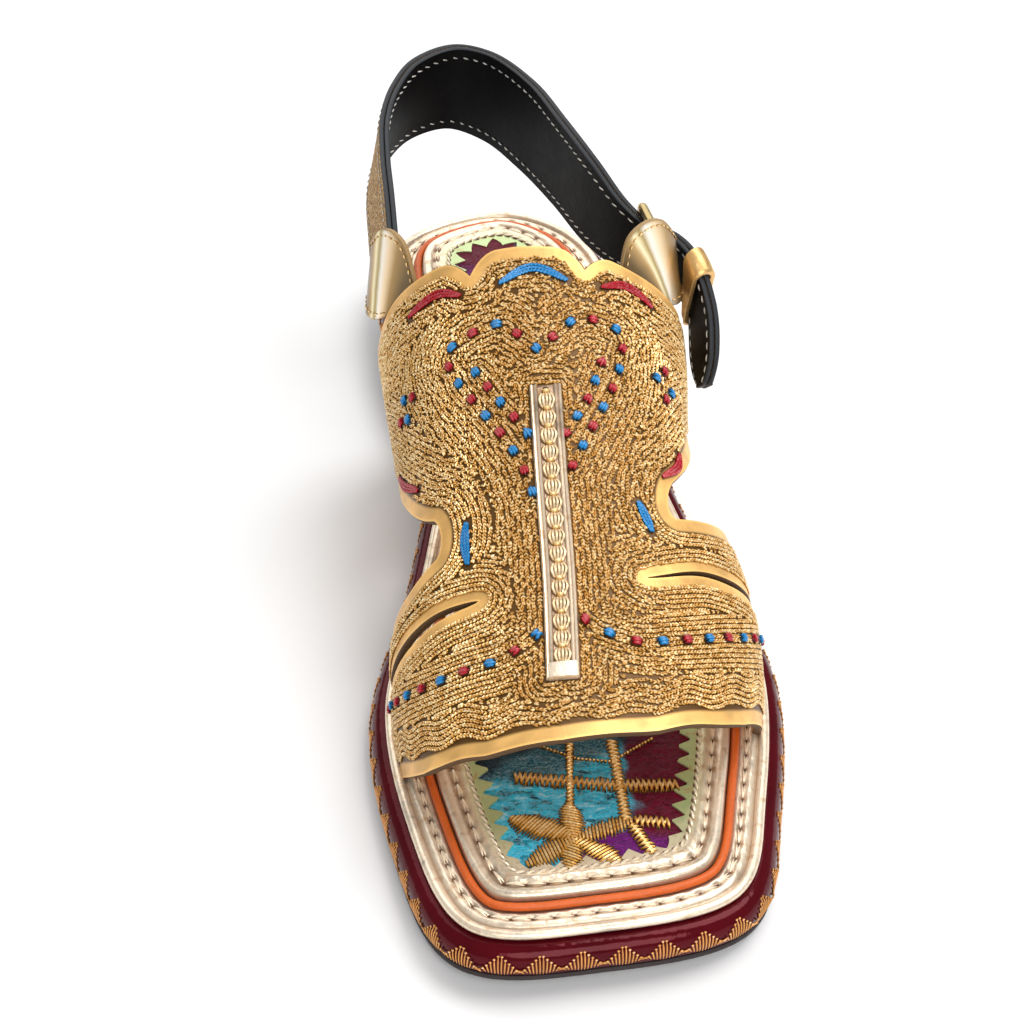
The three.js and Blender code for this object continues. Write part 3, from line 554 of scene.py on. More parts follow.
class Stitches:
    """Small shapes gathered into one mesh, each with a tone of its own and a mark for a painted highlight
    along its top.
    """

    def __init__(self, seed):
        self.rng = np.random.default_rng(seed)
        self.groups = []
        self.tones = []
        self.crown_highlights = []

    def add(self, shape, centres, along, normals, stretch=None, tone=(0, 1)):
        self.groups.append(stamp(shape, centres, along, normals, stretch))
        self.tones.append(np.repeat(mix(*tone, self.rng.random(len(centres))), len(shape[0])))
        # Mark for the painted highlight: 0 at the bottom of each shape, 1 at its top.
        height = shape[0][:, 2]
        self.crown_highlights.append(np.tile((height - height.min()) / np.ptp(height), len(centres)))

    def tubes(self, paths, normals, radius, sides=5, tone=(0, 1)):
        """Strands along given lines of points, thinner at both ends."""
        count, stops = paths.shape[:2]
        along = unit(np.gradient(paths, axis=1))
        side = unit(np.cross(normals[:, None], along))
        up = np.cross(along, side)
        b = (np.arange(sides) * 2 * math.pi / sides)[:, None]
        thin = np.where(np.isin(np.arange(stops), (0, stops - 1)), 0.5, 1)[:, None, None]
        ring = np.cos(b) * side[:, :, None] + np.sin(b) * up[:, :, None]
        points = paths[:, :, None] + radius * thin * ring
        ends = np.array([np.arange(sides)[::-1], (stops - 1) * sides + np.arange(sides)])
        step = (np.arange(count) * stops * sides)[:, None, None]
        faces = [(f + step).reshape(-1, f.shape[1])
                 for f in (ring_faces(stops, sides, closed_rows=False), ends)]
        self.groups.append((points.reshape(-1, 3), faces))
        self.tones.append(np.repeat(mix(*tone, self.rng.random(count)), stops * sides))
        # Mark for the painted highlight on strands: highest on the upper side of each ring.
        self.crown_highlights.append(np.tile(0.5 + 0.5 * np.sin(b[:, 0]), count * stops))

    def piece(self, name, finish, slot):
        points, faces = joined(self.groups)
        marks = {"tone": np.concatenate(self.tones), "crown": np.concatenate(self.crown_highlights)}
        return add_piece(name, points, faces, [finish], slot, marks=marks)


def press_row(grid, insets, row_inset, pitch, deep=0.6, wide=0.8):
    """Presses the holes of a stitch row into a swept grid of points, and says where."""
    line = raised(loop_inside(row_inset), WELT_TOP)
    steps = np.linalg.norm(np.roll(line, -1, 0) - line, axis=1)
    way = (np.cumsum(steps) - steps) / steps.sum()
    wave = 0.5 + 0.5 * np.cos(2 * math.pi * round(steps.sum() / pitch) * way)
    away = (insets[:, None] - row_inset) / wide
    press = np.exp(-away ** 2) * wave ** 2
    puff = np.exp(-(np.abs(away) - 1.5) ** 2 * 2) * wave
    grid[..., 2] += 0.22 * puff - deep * press
    return press


def sewn_row(threads, holes, inset, height, pitch):
    """A row of pale stitches round the sole, each drawn down into a pinhole at both ends."""
    line = raised(loop_inside(inset), height)
    centres, along, _ = even_stops(line, pitch, closed=True)
    side = np.cross(UP, along)
    for way in (-1, 1):
        spot, turn = centres + way * 0.2 * side, along + way * 0.08 * side
        threads.add(strand_shape(pitch * 0.86, 0.26, 0.3), spot, turn, UP, tone=(0.4, 1))
    centres, along, _ = even_stops(line, pitch, closed=True, offset=0)
    holes.add(bead_shape(1.2, 0.34), centres - 0.42 * UP, along, UP)


def nearest(points, targets):
    """Number of the nearest target of each point, and its distance."""
    tree = kdtree.KDTree(len(targets))
    for k, target in enumerate(targets):
        tree.insert(target, k)
    tree.balance()
    found = [tree.find(p) for p in points]
    return np.array([f[1] for f in found]), np.array([f[2] for f in found])


def nearest_distance(points, targets):
    return nearest(points, targets)[1]


# Shader sums: a socket that takes part in Python expressions, and a material built from them
class Sock:
    """A shader value: sums with it add Math nodes to its material."""

    def __init__(self, finish, socket):
        self.finish = finish
        self.socket = socket

    def math(self, operation, *values):
        return self.finish.node("ShaderNodeMath", {"operation": operation}, dict(enumerate(values)))

    def __add__(self, other):
        return self.math("ADD", self, other)

    def __radd__(self, other):
        return self.math("ADD", other, self)

    def __sub__(self, other):
        return self.math("SUBTRACT", self, other)

    def __rsub__(self, other):
        return self.math("SUBTRACT", other, self)

    def __mul__(self, other):
        return self.math("MULTIPLY", self, other)

    def __rmul__(self, other):
        return self.math("MULTIPLY", other, self)

    def __pow__(self, other):
        return self.math("POWER", self, other)

    def __abs__(self):
        return self.math("ABSOLUTE", self)

    def clamp(self):
        return self.math("MINIMUM", self.math("MAXIMUM", self, 0.0), 1.0)

    def rise(self, low, high):
        """0 below low, 1 above high, eased between."""
        return self.finish.node("ShaderNodeMapRange", {"interpolation_type": "SMOOTHSTEP"},
                                {"Value": self, "From Min": low, "From Max": high})


class Finish:
    """One material; its texture space is the shoe's own, in millimetres."""

    def __init__(self, name):
        self.material = bpy.data.materials.new(name)
        self.material.use_nodes = True
        self.tree = self.material.node_tree
        self.shader = self.tree.nodes["Principled BSDF"]
        place = self.node("ShaderNodeTexCoord", out="Object")
        self.place = self.node("ShaderNodeVectorMath", {"operation": "SCALE"},
                               {0: place, "Scale": 1 / MM})

    def set_input(self, socket, value):
        if isinstance(value, Sock):
            self.tree.links.new(value.socket, socket)
        else:
            socket.default_value = value

    def node(self, kind, settings=None, inputs=None, out=0):
        made = self.tree.nodes.new(kind)
        for name, value in (settings or {}).items():
            if name == "stops":
                while len(made.color_ramp.elements) < len(value):
                    made.color_ramp.elements.new(0.5)
                for stop, (position, colour) in zip(made.color_ramp.elements, value):
                    stop.position = position
                    stop.color = (*colour[:3], 1)
            else:
                setattr(made, name, value)
        for name, value in (inputs or {}).items():
            self.set_input(made.inputs[name], value)
        return Sock(self, made.outputs[out])

    def stretched(self, x, y, z):
        return self.node("ShaderNodeVectorMath", {"operation": "MULTIPLY"}, {0: self.place, 1: (x, y, z)})

    def noise(self, scale, detail=2.0, roughness=0.5, vector=None, bend=0.0):
        """Cloudy value from 0 to 1, with scale in waves to the millimetre."""
        return self.node("ShaderNodeTexNoise", None, {
            "Vector": vector or self.place, "Scale": scale, "Detail": detail, "Roughness": roughness,
            "Distortion": bend})

    def cells(self, scale, feature="F1", vector=None):
        return self.node("ShaderNodeTexVoronoi", {"feature": feature}, {
            "Vector": vector or self.place, "Scale": scale})

    def mark(self, name):
        """A number that the mesh carries on its points."""
        return self.node("ShaderNodeAttribute", {"attribute_name": name}, out="Fac")

    def blend(self, share, a, b, kind="MIX"):
        made = self.tree.nodes.new("ShaderNodeMix")
        made.data_type = "RGBA"
        made.blend_type = kind
        self.set_input(made.inputs["Factor"], share)
        for name, value in (("A", a), ("B", b)):
            socket = next(s for s in made.inputs if s.name == name and s.type == "RGBA")
            self.set_input(socket, value if isinstance(value, Sock) else (*value[:3], 1))
        return Sock(self, next(s for s in made.outputs if s.type == "RGBA"))

    def ramp(self, value, stops):
        return self.node("ShaderNodeValToRGB", {"stops": stops}, {"Fac": value})

    def bump(self, height, strength, distance, under=None):
        inputs = {"Height": height, "Strength": strength, "Distance": distance * MM}
        if under is not None:
            inputs["Normal"] = under
        return self.node("ShaderNodeBump", None, inputs)

    def done(self, **inputs):
        """Sets the shader's sockets by name, with spaces written as underscores."""
        for name, value in inputs.items():
            socket = self.shader.inputs[name.replace("_", " ")]
            self.set_input(socket, value if isinstance(value, Sock) or not isinstance(value, tuple)
                           else (*value[:3], 1))
        return self.material


def linear(code):
    """Scene colour of a six-digit screen colour."""
    parts = [(code >> shift & 255) / 255 for shift in (16, 8, 0)]
    return tuple(c / 12.92 if c < 0.04045 else ((c + 0.055) / 1.055) ** 2.4 for c in parts)


def shade(colour, factor):
    return tuple(c * factor for c in tuple(colour)[:3])


# Finishes
def stitched_leather(colour):
    """Smooth foil leather along the edges, with a painted highlight right at the cut edge, and painted
    shade as a dark ground where the stitches cover it.
    """
    f = Finish("stitched_leather")
    grain = f.cells(1.6)
    cloud = f.noise(0.12, 3)
    wear_and_shade = f.noise(0.7, 4)
    cover = (f.mark("edge") + cloud * 0.6).rise(3.2, 4.2)
    # Painted highlight: a thin paler line along the cut edge of the leather.
    rim = f.mark("edge").rise(0.0, 0.9)
    border = f.blend(cloud.rise(0.3, 0.7), shade(colour, 0.8), shade(colour, 1.2))
    border = f.blend((1 - rim) * 0.6, border, shade(colour, 1.5))
    # Painted shade: dark brown ground under the stitches, so the gaps between threads read dark.
    tone = f.blend(cover, border, (0.12, 0.055, 0.012))
    normal = f.bump(grain * 0.7 + wear_and_shade * 0.6, 0.25, 0.12)
    return f.done(Base_Color=tone, Roughness=0.3 + wear_and_shade * 0.2, Metallic=0.3, Normal=normal,
                  Specular_IOR_Level=0.3)


def suede_lining(colour):
    f = Finish("suede_lining")
    nap = f.noise(2.2, 4)
    cloud = f.noise(0.06, 3)
    tone = f.blend(cloud * 0.6 + nap * 0.4, shade(colour, 0.75), shade(colour, 1.15))
    return f.done(Base_Color=tone, Roughness=0.75 + nap * 0.15, Normal=f.bump(nap, 0.35, 0.15))


def cut_edge(name, colour):
    """Raw or inked cut through leather, with fine layers."""
    f = Finish(name)
    fibre = f.noise(1.4, 4, vector=f.stretched(1, 1, 3))
    tone = f.blend(fibre, shade(colour, 0.7), shade(colour, 1.25))
    return f.done(Base_Color=tone, Roughness=0.45 + fibre * 0.25, Normal=f.bump(fibre, 0.3, 0.12))


def thread(name, dark, middle, pale, metal, rough):
    """Twisted thread: painted shade at its sides and a painted highlight along its top, and each stitch
    with a tone of its own.
    """
    f = Finish(name)
    twist = f.noise(1.6, 2)
    speck = twist.rise(0.3, 0.7)
    # Each stitch's own tone mixed with a painted highlight on its top; the last ramp stop is a near-white
    # painted glint.
    level = f.mark("tone") * 0.38 + f.mark("crown").rise(0.4, 1.0) * 0.5 + speck * 0.12
    tone = f.ramp(level, [(0.15, dark), (0.48, middle), (0.82, pale), (0.95, (1.0, 0.92, 0.7))])
    return f.done(Base_Color=tone, Roughness=rough + speck * 0.1, Metallic=metal,
                  Normal=f.bump(twist, 0.5, 0.15), Specular_IOR_Level=0.25)


def foil_leather(name, colour, rough, metal):
    """Pale metallic leather with painted brown shade in its grooves, stitch dents and beside the cord,
    pearly patches, fine grain and creases."""
    f = Finish(name)
    patch = f.noise(0.06, 3)
    grain = f.cells(1.3)
    crease = f.noise(0.35, 5, 0.6)
    fold = f.noise(0.22, 3, 0.6, f.stretched(1, 0.45, 1))
    stops = [(0.32, shade(colour, 0.45)), (0.47, colour), (0.7, shade(colour, 1.15))]
    tone = f.ramp(patch * 0.6 + crease * 0.4, stops)
    tone = f.blend(f.mark("pearl") * 0.8, tone, (0.42, 0.6, 0.24))
    # Painted shade: brown in the grooves, the stitch dents and the recess beside the cord, from the
    # mesh's mark.
    tone = f.blend((f.mark("groove") * (0.5 + crease * 0.7)).clamp(), tone, (0.24, 0.1, 0.03))
    tone = f.blend(crease.rise(0.5, 0.72) * 0.6, tone, (0.5, 0.28, 0.11))
    normal = f.bump(fold, 0.3, rough * 4, f.bump(grain * 0.4 + crease, 0.25, rough * 0.7))
    return f.done(Base_Color=tone, Roughness=rough + crease * rough, Metallic=metal, Normal=normal)


def rolled_foil(name, colour):
    """Metallic leather rolled round the strap's end: painted highlights, painted reflections and painted
    shade run as streaks along the roll.
    """
    f = Finish(name)
    grain = f.cells(1.3)
    cloud = f.noise(0.15, 3)
    turn = f.mark("turn") + (cloud - 0.5) * 0.06
    # Painted highlights and painted shade: pale and dark streaks by place across the roll.
    tone = f.ramp(turn, [
        (0.0, shade(colour, 0.2)), (0.1, shade(colour, 0.7)), (0.17, (1.0, 0.88, 0.55)),
        (0.26, (0.42, 0.3, 0.1)), (0.36, (1.0, 0.93, 0.8)), (0.52, (0.9, 0.68, 0.42)),
        (0.72, shade(colour, 0.55)), (0.9, shade(colour, 0.34)), (1.0, shade(colour, 0.2))])
    normal = f.bump(grain, 0.15, 0.06)
    return f.done(Base_Color=tone, Roughness=0.25 + cloud * 0.1, Metallic=0.5, Normal=normal)


def patent_leather(colour):
    """Deep glossy leather, pulled over the sole's side."""
    f = Finish("patent_leather")
    cloud = f.noise(0.08, 3)
    pull = f.noise(0.25, 3, vector=f.stretched(1, 1, 0.25))
    speck = f.noise(1.8, 3)
    tone = f.blend(cloud, shade(colour, 0.6), shade(colour, 1.3))
    tone = f.blend(speck.rise(0.68, 0.8) * 0.2, tone, shade(colour, 2.4))
    normal = f.bump(pull, 0.3, 0.6)
    return f.done(Base_Color=tone, Roughness=0.06 + speck * 0.1, Metallic=0.2, Normal=normal,
                  Specular_IOR_Level=0.14)


def cord_leather(colour):
    f = Finish("cord_leather")
    crinkle = f.noise(0.9, 3)
    cloud = f.noise(0.1, 2)
    tone = f.blend(cloud * 0.6 + crinkle * 0.4, shade(colour, 0.55), shade(colour, 1.25))
    return f.done(Base_Color=tone, Roughness=0.38 + crinkle * 0.15, Normal=f.bump(crinkle, 0.5, 0.35))


def printed_satin(colours):
    """Crinkled satin, printed in clouds of plum and maroon with broken blue brush strokes, and with
    painted shadow where the upper overhangs it.
    """
    f = Finish("printed_satin")
    wander = f.noise(0.16, 4)
    weave = f.noise(3.0, 2, vector=f.stretched(1, 0.3, 1))
    patch = f.noise(0.17, 2, 0.5, f.stretched(0.7, 1.3, 1), 1.5)
    stroke = f.noise(0.4, 3, 0.6, f.stretched(0.7, 1.5, 1), 2.5)
    lines = (1 - abs(stroke - 0.5) * 26).clamp()
    ground = f.blend((f.mark("red") + wander * 0.6).rise(0.5, 1.0), colours.plum, colours.wine)
    # Painted shadow: the ground darkens under the upper's edge.
    ground = f.blend((f.mark("dusk") + wander * 0.5).rise(0.5, 0.9), ground, shade(colours.plum, 0.12))
    ground = f.blend(stroke.rise(0.3, 0.7), f.blend(1.0, ground, (0.5, 0.45, 0.5), "MULTIPLY"), ground)
    sea = f.ramp(patch * 0.7 + stroke * 0.3, [
        (0.36, shade(colours.cyan, 0.15)), (0.43, shade(colours.cyan, 0.55)), (0.5, colours.cyan),
        (0.57, shade(colours.cyan, 1.2)), (0.62, (0.36, 0.6, 0.68))])
    share = (f.mark("blue") + wander * 0.7).rise(0.55, 0.85)
    tone = f.blend(share, ground, sea)
    # Painted shadow: dark navy under the upper's edge, over the blue clouds too.
    dusk = (f.mark("dusk") + wander * 0.5).rise(0.55, 0.95)
    tone = f.blend(dusk * 0.85, tone, shade(colours.cyan, 0.05))
    tone = f.blend(lines * (0.04 + share * 0.4), tone, (0.5, 0.72, 0.8))
    normal = f.bump(patch + stroke, 0.6, 0.7, f.bump(weave, 0.3, 0.15))
    return f.done(Base_Color=tone, Roughness=0.25 + stroke * 0.2, Metallic=0.1, Normal=normal,
                  Specular_IOR_Level=0.14)


def plain_leather(name, colour, rough):
    """Smooth dyed leather with fine pores."""
    f = Finish(name)
    pore = f.cells(1.1)
    crease = f.noise(0.3, 5, 0.6)
    tone = f.blend(crease, shade(colour, 0.7), shade(colour, 1.6))
    normal = f.bump(pore + crease, 0.25, 0.15)
    return f.done(Base_Color=tone, Roughness=rough + crease * 0.15, Normal=normal,
                  Specular_IOR_Level=0.1)


def glitter_leather(colour):
    """Gold leather strewn with bright flakes."""
    f = Finish("glitter_leather")
    flake = f.node("ShaderNodeTexVoronoi", None, {"Vector": f.place, "Scale": 2.6}, out="Color")
    level = f.node("ShaderNodeSeparateColor", None, {"Color": flake}, out="Red")
    spark = level.rise(0.78, 0.86)
    tone = f.blend(level, shade(colour, 0.35), shade(colour, 1.5))
    tone = f.blend(spark * 0.8, tone, (0.8, 0.56, 0.14))
    return f.done(Base_Color=tone, Roughness=0.6 - spark * 0.3, Metallic=0.7,
                  Normal=f.bump(level, 0.6, 0.15), Specular_IOR_Level=0.06)


def polished_brass(colour):
    f = Finish("polished_brass")
    scratch = f.noise(1.5, 4, vector=f.stretched(1, 1, 0.2))
    stain = f.noise(0.2, 3)
    tone = f.blend(stain, shade(colour, 0.75), shade(colour, 1.15))
    return f.done(Base_Color=tone, Roughness=0.16 + scratch * 0.18, Metallic=1.0,
                  Normal=f.bump(scratch, 0.15, 0.05))


def sole_sheet(colour):
    f = Finish("sole_sheet")
    grit = f.noise(1.5, 5, 0.7)
    cloud = f.noise(0.05, 3)
    tone = f.blend(cloud * 0.5 + grit * 0.5, shade(colour, 0.6), shade(colour, 1.7))
    return f.done(Base_Color=tone, Roughness=0.6 + grit * 0.25, Normal=f.bump(grit, 0.4, 0.25))


def pale_floor(colour):
    f = Finish("pale_floor")
    cloud = f.noise(0.004, 2)
    tone = f.blend(cloud, shade(colour, 0.985), colour)
    return f.done(Base_Color=tone, Roughness=0.75)


def length_property(name, size, description):
    """A length of so many millimetres, kept in metres."""
    return FloatProperty(name=name, description=description, default=size * MM, min=0, precision=5,
                        unit="LENGTH")


def colour_property(name, code, description):
    return FloatVectorProperty(name=name, description=description, subtype="COLOR", default=linear(code),
                               min=0, max=1)


class SandalSizes(bpy.types.PropertyGroup):
    """Sizes a user would change"""

    leather: length_property("Leather", 2.2, "Thickness of the upper's leather")
    row: length_property("Row spacing", 1.26, "Distance between rows of embroidery")
    stitch: length_property("Twist", 0.91, "Length of one twist of the gold thread")
    yarn: length_property("Thread radius", 0.3, "Radius of one twist")
    fan: length_property("Fan spacing", 9.4, "Distance between the fans round the sole")
    border_stitch: length_property("Border stitch", 4.9, "Stitch length on border and footbed")
    teeth: length_property("Pinked teeth", 4.9, "Pitch of the footbed's pinked edge")
    strap_stitch: length_property("Strap stitch", 3.1, "Pitch of the strap's running stitch")


class SandalColours(bpy.types.PropertyGroup):
    """Colours a user would change"""

    tan: colour_property("Tan leather", 0xF0BC70, "Upper's leather")
    gold: colour_property("Gold leather", 0xFAE8CE, "Border, footbed and placket")
    tab: colour_property("Tab leather", 0xE2B878, "Tabs and keeper")
    yarn: colour_property("Gold thread", 0xD2943A, "Embroidery on upper and cloth")
    maroon: colour_property("Maroon leather", 0x560914, "Side of the sole")
    copper: colour_property("Copper thread", 0xBC8246, "Fans on the sole's side")
    orange: colour_property("Orange cord", 0xE2661E, "Cord inside the border")
    plum: colour_property("Cloth plum", 0x761478, "Ground of the printed cloth")
    wine: colour_property("Cloth maroon", 0x6E0628, "Maroon clouds of the printed cloth")
    cyan: colour_property("Cloth blue", 0x30AECB, "Blue clouds of the printed cloth")
    blue: colour_property("Blue thread", 0x0880C0, "Blue dots and arcs")
    red: colour_property("Red thread", 0xB00A20, "Red dots and arcs")
    black: colour_property("Strap lining", 0x0E0E10, "Inner face of the heel strap")
    glitter: colour_property("Strap face", 0x9A6A10, "Outer face of the heel strap")
    brass: colour_property("Buckle", 0xC0A870, "Buckle's metal")
    floor: colour_property("Floor", 0xF7F7F7, "Studio floor")


def user_sizes(context):
    """The user's sizes in millimetres."""
    sizes = context.scene.sandal_sizes
    return SimpleNamespace(**{name: getattr(sizes, name) / MM for name in SandalSizes.__annotations__})


def made_once(name, make, *values):
    """A finish that several pieces share."""
    return bpy.data.materials.get(name) or make(name, *values)


def gold_thread(context):
    colour = context.scene.sandal_colours.yarn
    # The dark and pale colours are painted shade and painted highlight of the gold thread.
    return made_once("gold_thread", thread, shade(colour, 0.16), colour, (1.0, 0.8, 0.43), 0.4, 0.24)


def pale_thread(context):
    colour = context.scene.sandal_colours.gold
    # The dark and pale colours are painted shade and painted highlight of the pale thread.
    return made_once("pale_thread", thread, shade(colour, 0.5), colour, (1.0, 0.85, 0.64), 0.4, 0.3)


def cream_thread():
    # The dark and pale colours are painted shade and painted highlight of the cream thread.
    dark, middle, pale = (0.2, 0.1, 0.04), (0.66, 0.47, 0.25), (1.0, 0.86, 0.62)
    return made_once("cream_thread", thread, dark, middle, pale, 0.4, 0.3)


def copper_thread(colours):
    # The dark and pale colours are painted shade and painted highlight of the copper thread.
    pale = shade(colours.copper, 1.8)
    return made_once("copper_thread", thread, shade(colours.copper, 0.45), colours.copper, pale, 0.4, 0.3)


def pinhole_brown():
    return made_once("pinhole_brown", cut_edge, (0.13, 0.055, 0.02))


def gold_leather(context):
    return made_once("gold_foil", foil_leather, context.scene.sandal_colours.gold, 0.22, 0.55)


def tab_leather(context):
    return made_once("tab_foil", foil_leather, context.scene.sandal_colours.tab, 0.26, 0.75)


class SANDAL_OT_stage(bpy.types.Operator):
    """Floor, soft lights and the camera at the photograph's angle"""

    bl_idname = "sandal.stage"
    bl_label = "Stage"

    EYE = (-67.7, -466.4, 480.1)
    TURN = (6.25, -40.4)
    LENS = 95.06
    LIGHTS = [
        {"name": "key", "at": (0.55, 0.2, 1.15), "size": 0.9, "power": 10},
        {"name": "back", "at": (-0.1, 1.35, 0.95), "size": 1.9, "power": 13},
        {"name": "front", "at": (0.1, -1.15, 0.95), "size": 1.1, "power": 12.5},
    ]
    AIR = 0.32

    def execute(self, context):
        self.floor(context)
        self.lights(context)
        self.camera(context)
        return {"FINISHED"}

    def floor(self, context):
        far = 3000
        points = np.array([(-far, -far, 0), (far, -far, 0), (far, far, 0), (-far, far, 0)], float)
        finish = pale_floor(context.scene.sandal_colours.floor)
        mesh_object("studio_floor", points, [np.array([[0, 1, 2, 3]])], [finish])

    def lights(self, context):
        for row in self.LIGHTS:
            data = bpy.data.lights.new(row["name"], "AREA")
            data.shape = "DISK"
            data.size = row["size"]
            data.energy = row["power"]
            lamp = bpy.data.objects.new(row["name"], data)
            lamp.location = row["at"]
            toward = Vector((0, 0.05, 0.03)) - lamp.location
            lamp.rotation_euler = toward.to_track_quat("-Z", "Y").to_euler()
            context.scene.collection.objects.link(lamp)
        world = bpy.data.worlds.new("studio")
        world.use_nodes = True
        world.node_tree.nodes["Background"].inputs["Color"].default_value = (1, 1, 1, 1)
        world.node_tree.nodes["Background"].inputs["Strength"].default_value = self.AIR
        context.scene.world = world
        context.scene.view_settings.view_transform = "Standard"

    def camera(self, context):
        yaw, pitch = (math.radians(angle) for angle in self.TURN)
        sin_yaw, cos_yaw = math.sin(yaw), math.cos(yaw)
        sin_pitch, cos_pitch = math.sin(pitch), math.cos(pitch)
        ahead = Vector((sin_yaw * cos_pitch, cos_yaw * cos_pitch, sin_pitch))
        right = Vector((math.cos(yaw), -math.sin(yaw), 0))
        above = right.cross(ahead)
        data = bpy.data.cameras.new("camera")
        data.lens = self.LENS
        data.sensor_width = 36
        eye = bpy.data.objects.new("camera", data)
        turn = Matrix((right, above, -ahead)).transposed().to_4x4()
        eye.matrix_world = Matrix.Translation(Vector(self.EYE) * MM) @ turn
        context.scene.collection.objects.link(eye)
        context.scene.camera = eye


class SANDAL_OT_sole(bpy.types.Operator):
    """Wrapped side with its copper fans, gold border with its stitch row, orange cord and dark outsole"""

    bl_idname = "sandal.sole"
    bl_label = "Sole"

    SIDE = [(-2.9, 2.3), (-3.5, 3.2), (-3.8, 4.6), (-3.8, 7.2), (-3.3, 9.2), (-2.2, 10.8),
            (-0.8, 11.6), (1.2, 11.8)]
    BORDER = [(1.2, 12.1), (0.35, 12.4), (0, 12.95), (0.1, 13.6), (0.6, 14.1), (1.3, 14.28), (2.1, 14.1),
              (2.7, 13.4), (3.4, 13.9), (4.6, 14.2), (5.7, 13.95), (6.6, 14.15), (7.4, 13.9), (12, 13.9)]
    RIM = [(-2.2, 0.2), (-3.1, 0.3), (-3.4, 0.7), (-3.4, 1.6), (-3.1, 2.05), (-2.2, 2.1)]
    STITCH_INSET = 5.5
    FAN_STRANDS = 10
    FAN_FOOT, FAN_HEAD = 3.4, 10.2
    WALL = -3.72

    def execute(self, context):
        sizes, colours = user_sizes(context), context.scene.sandal_colours
        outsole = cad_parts["outsole"]
        rubber = sole_sheet((0.03, 0.02, 0.02))
        outsole.data.materials.clear()
        outsole.data.materials.append(rubber)
        self.ring("outsole_rim", self.RIM, rubber, "outsole_black")
        self.ring("wrapped_side", [*smooth_profile(self.SIDE, 3), (6, 11.8), (6, 2.3)],
                  patent_leather(colours.maroon), "maroon_leather", "midsole")
        self.ring("gold_border", [*smooth_profile(self.BORDER, 3), (12, 12.1)], gold_leather(context),
                  "gold_leather", "welt", sizes.border_stitch)
        turn = np.linspace(2 * math.pi, 0, 12, endpoint=False)
        cord = np.stack([PIPING_INSET - CORD_RADIUS * np.cos(turn),
                         WELT_TOP + CORD_RADIUS * (1 + np.sin(turn))], 1)
        self.ring("cord", cord, cord_leather(colours.orange), "orange_cord", "piping")
        threads, holes = Stitches(SEED), Stitches(SEED)
        sewn_row(threads, holes, self.STITCH_INSET, 13.95, sizes.border_stitch)
        threads.piece("border_stitches", pale_thread(context), "gold_leather")
        holes.piece("border_pinholes", pinhole_brown(), "gold_leather")
        self.fans(sizes, colours)
        return {"FINISHED"}

    def ring(self, name, profile, finish, slot, node=None, sewn=0):
        profile = np.array(profile)
        grid = swept_profile(profile)
        marks = {}
        if sewn:
            inset = profile[:, 0]
            # Painted shade in the groove behind the rim bead, beside and under the cord, and in the
            # stitch dents.
            groove = np.exp(-((inset - 2.75) / 0.45) ** 2) * 0.7 + np.clip((inset - 6.9) / 0.6, 0, 0.9)
            press = press_row(grid, inset, self.STITCH_INSET, sewn)
            marks["groove"] = np.maximum(groove[:, None], press).ravel()
        stands_for = (node,) if node else ()
        add_piece(name, grid.reshape(-1, 3), [ring_faces(*grid.shape[:2])], [finish], slot,
                  stands_for, marks=marks)

    def fans(self, sizes, colours):
        """Fans of strands that follow the sole's side, longest in the middle, with a small cross
        between two fans."""
        centres, along, _ = even_stops(raised(loop_inside(self.WALL), 0), sizes.fan, closed=True)
        out = np.stack([along[:, 1], -along[:, 0], np.zeros(len(along))], 1)
        side = smooth_profile(self.SIDE, 4)
        threads = Stitches(SEED)

        def on_wall(shift, height):
            reach = self.WALL - np.interp(height, side[:, 1], side[:, 0]) + 0.1
            spot = centres + along * shift + out * reach
            return np.column_stack([spot[:, :2], sole_height(height, spot[:, 1])])

        for place in np.linspace(-1, 1, self.FAN_STRANDS):
            foot = self.FAN_FOOT + 1.1 * abs(place) ** 1.5
            head = mix(self.FAN_HEAD, self.FAN_FOOT, 0.62 * abs(place) ** 1.2)
            shift = place * sizes.fan * np.linspace(0.34, 0.41, 5)
            stops = [on_wall(s, h) for s, h in zip(shift, np.linspace(foot, head, 5))]
            threads.tubes(np.stack(stops, 1), out, 0.23, tone=(0.3, 0.7))
            threads.add(bead_shape(0.8, 0.26), stops[-1] + out * 0.1, along, out, tone=(0.7, 1))
        for way in (-1, 1):
            stops = [on_wall(sizes.fan / 2 + 0.9 * t, self.FAN_FOOT + 2.0 + 0.5 * way * t)
                     for t in (-1, 0, 1)]
            threads.tubes(np.stack(stops, 1), out, 0.24, tone=(0.35, 0.75))
        threads.piece("fan_stitches", copper_thread(colours), "maroon_leather")


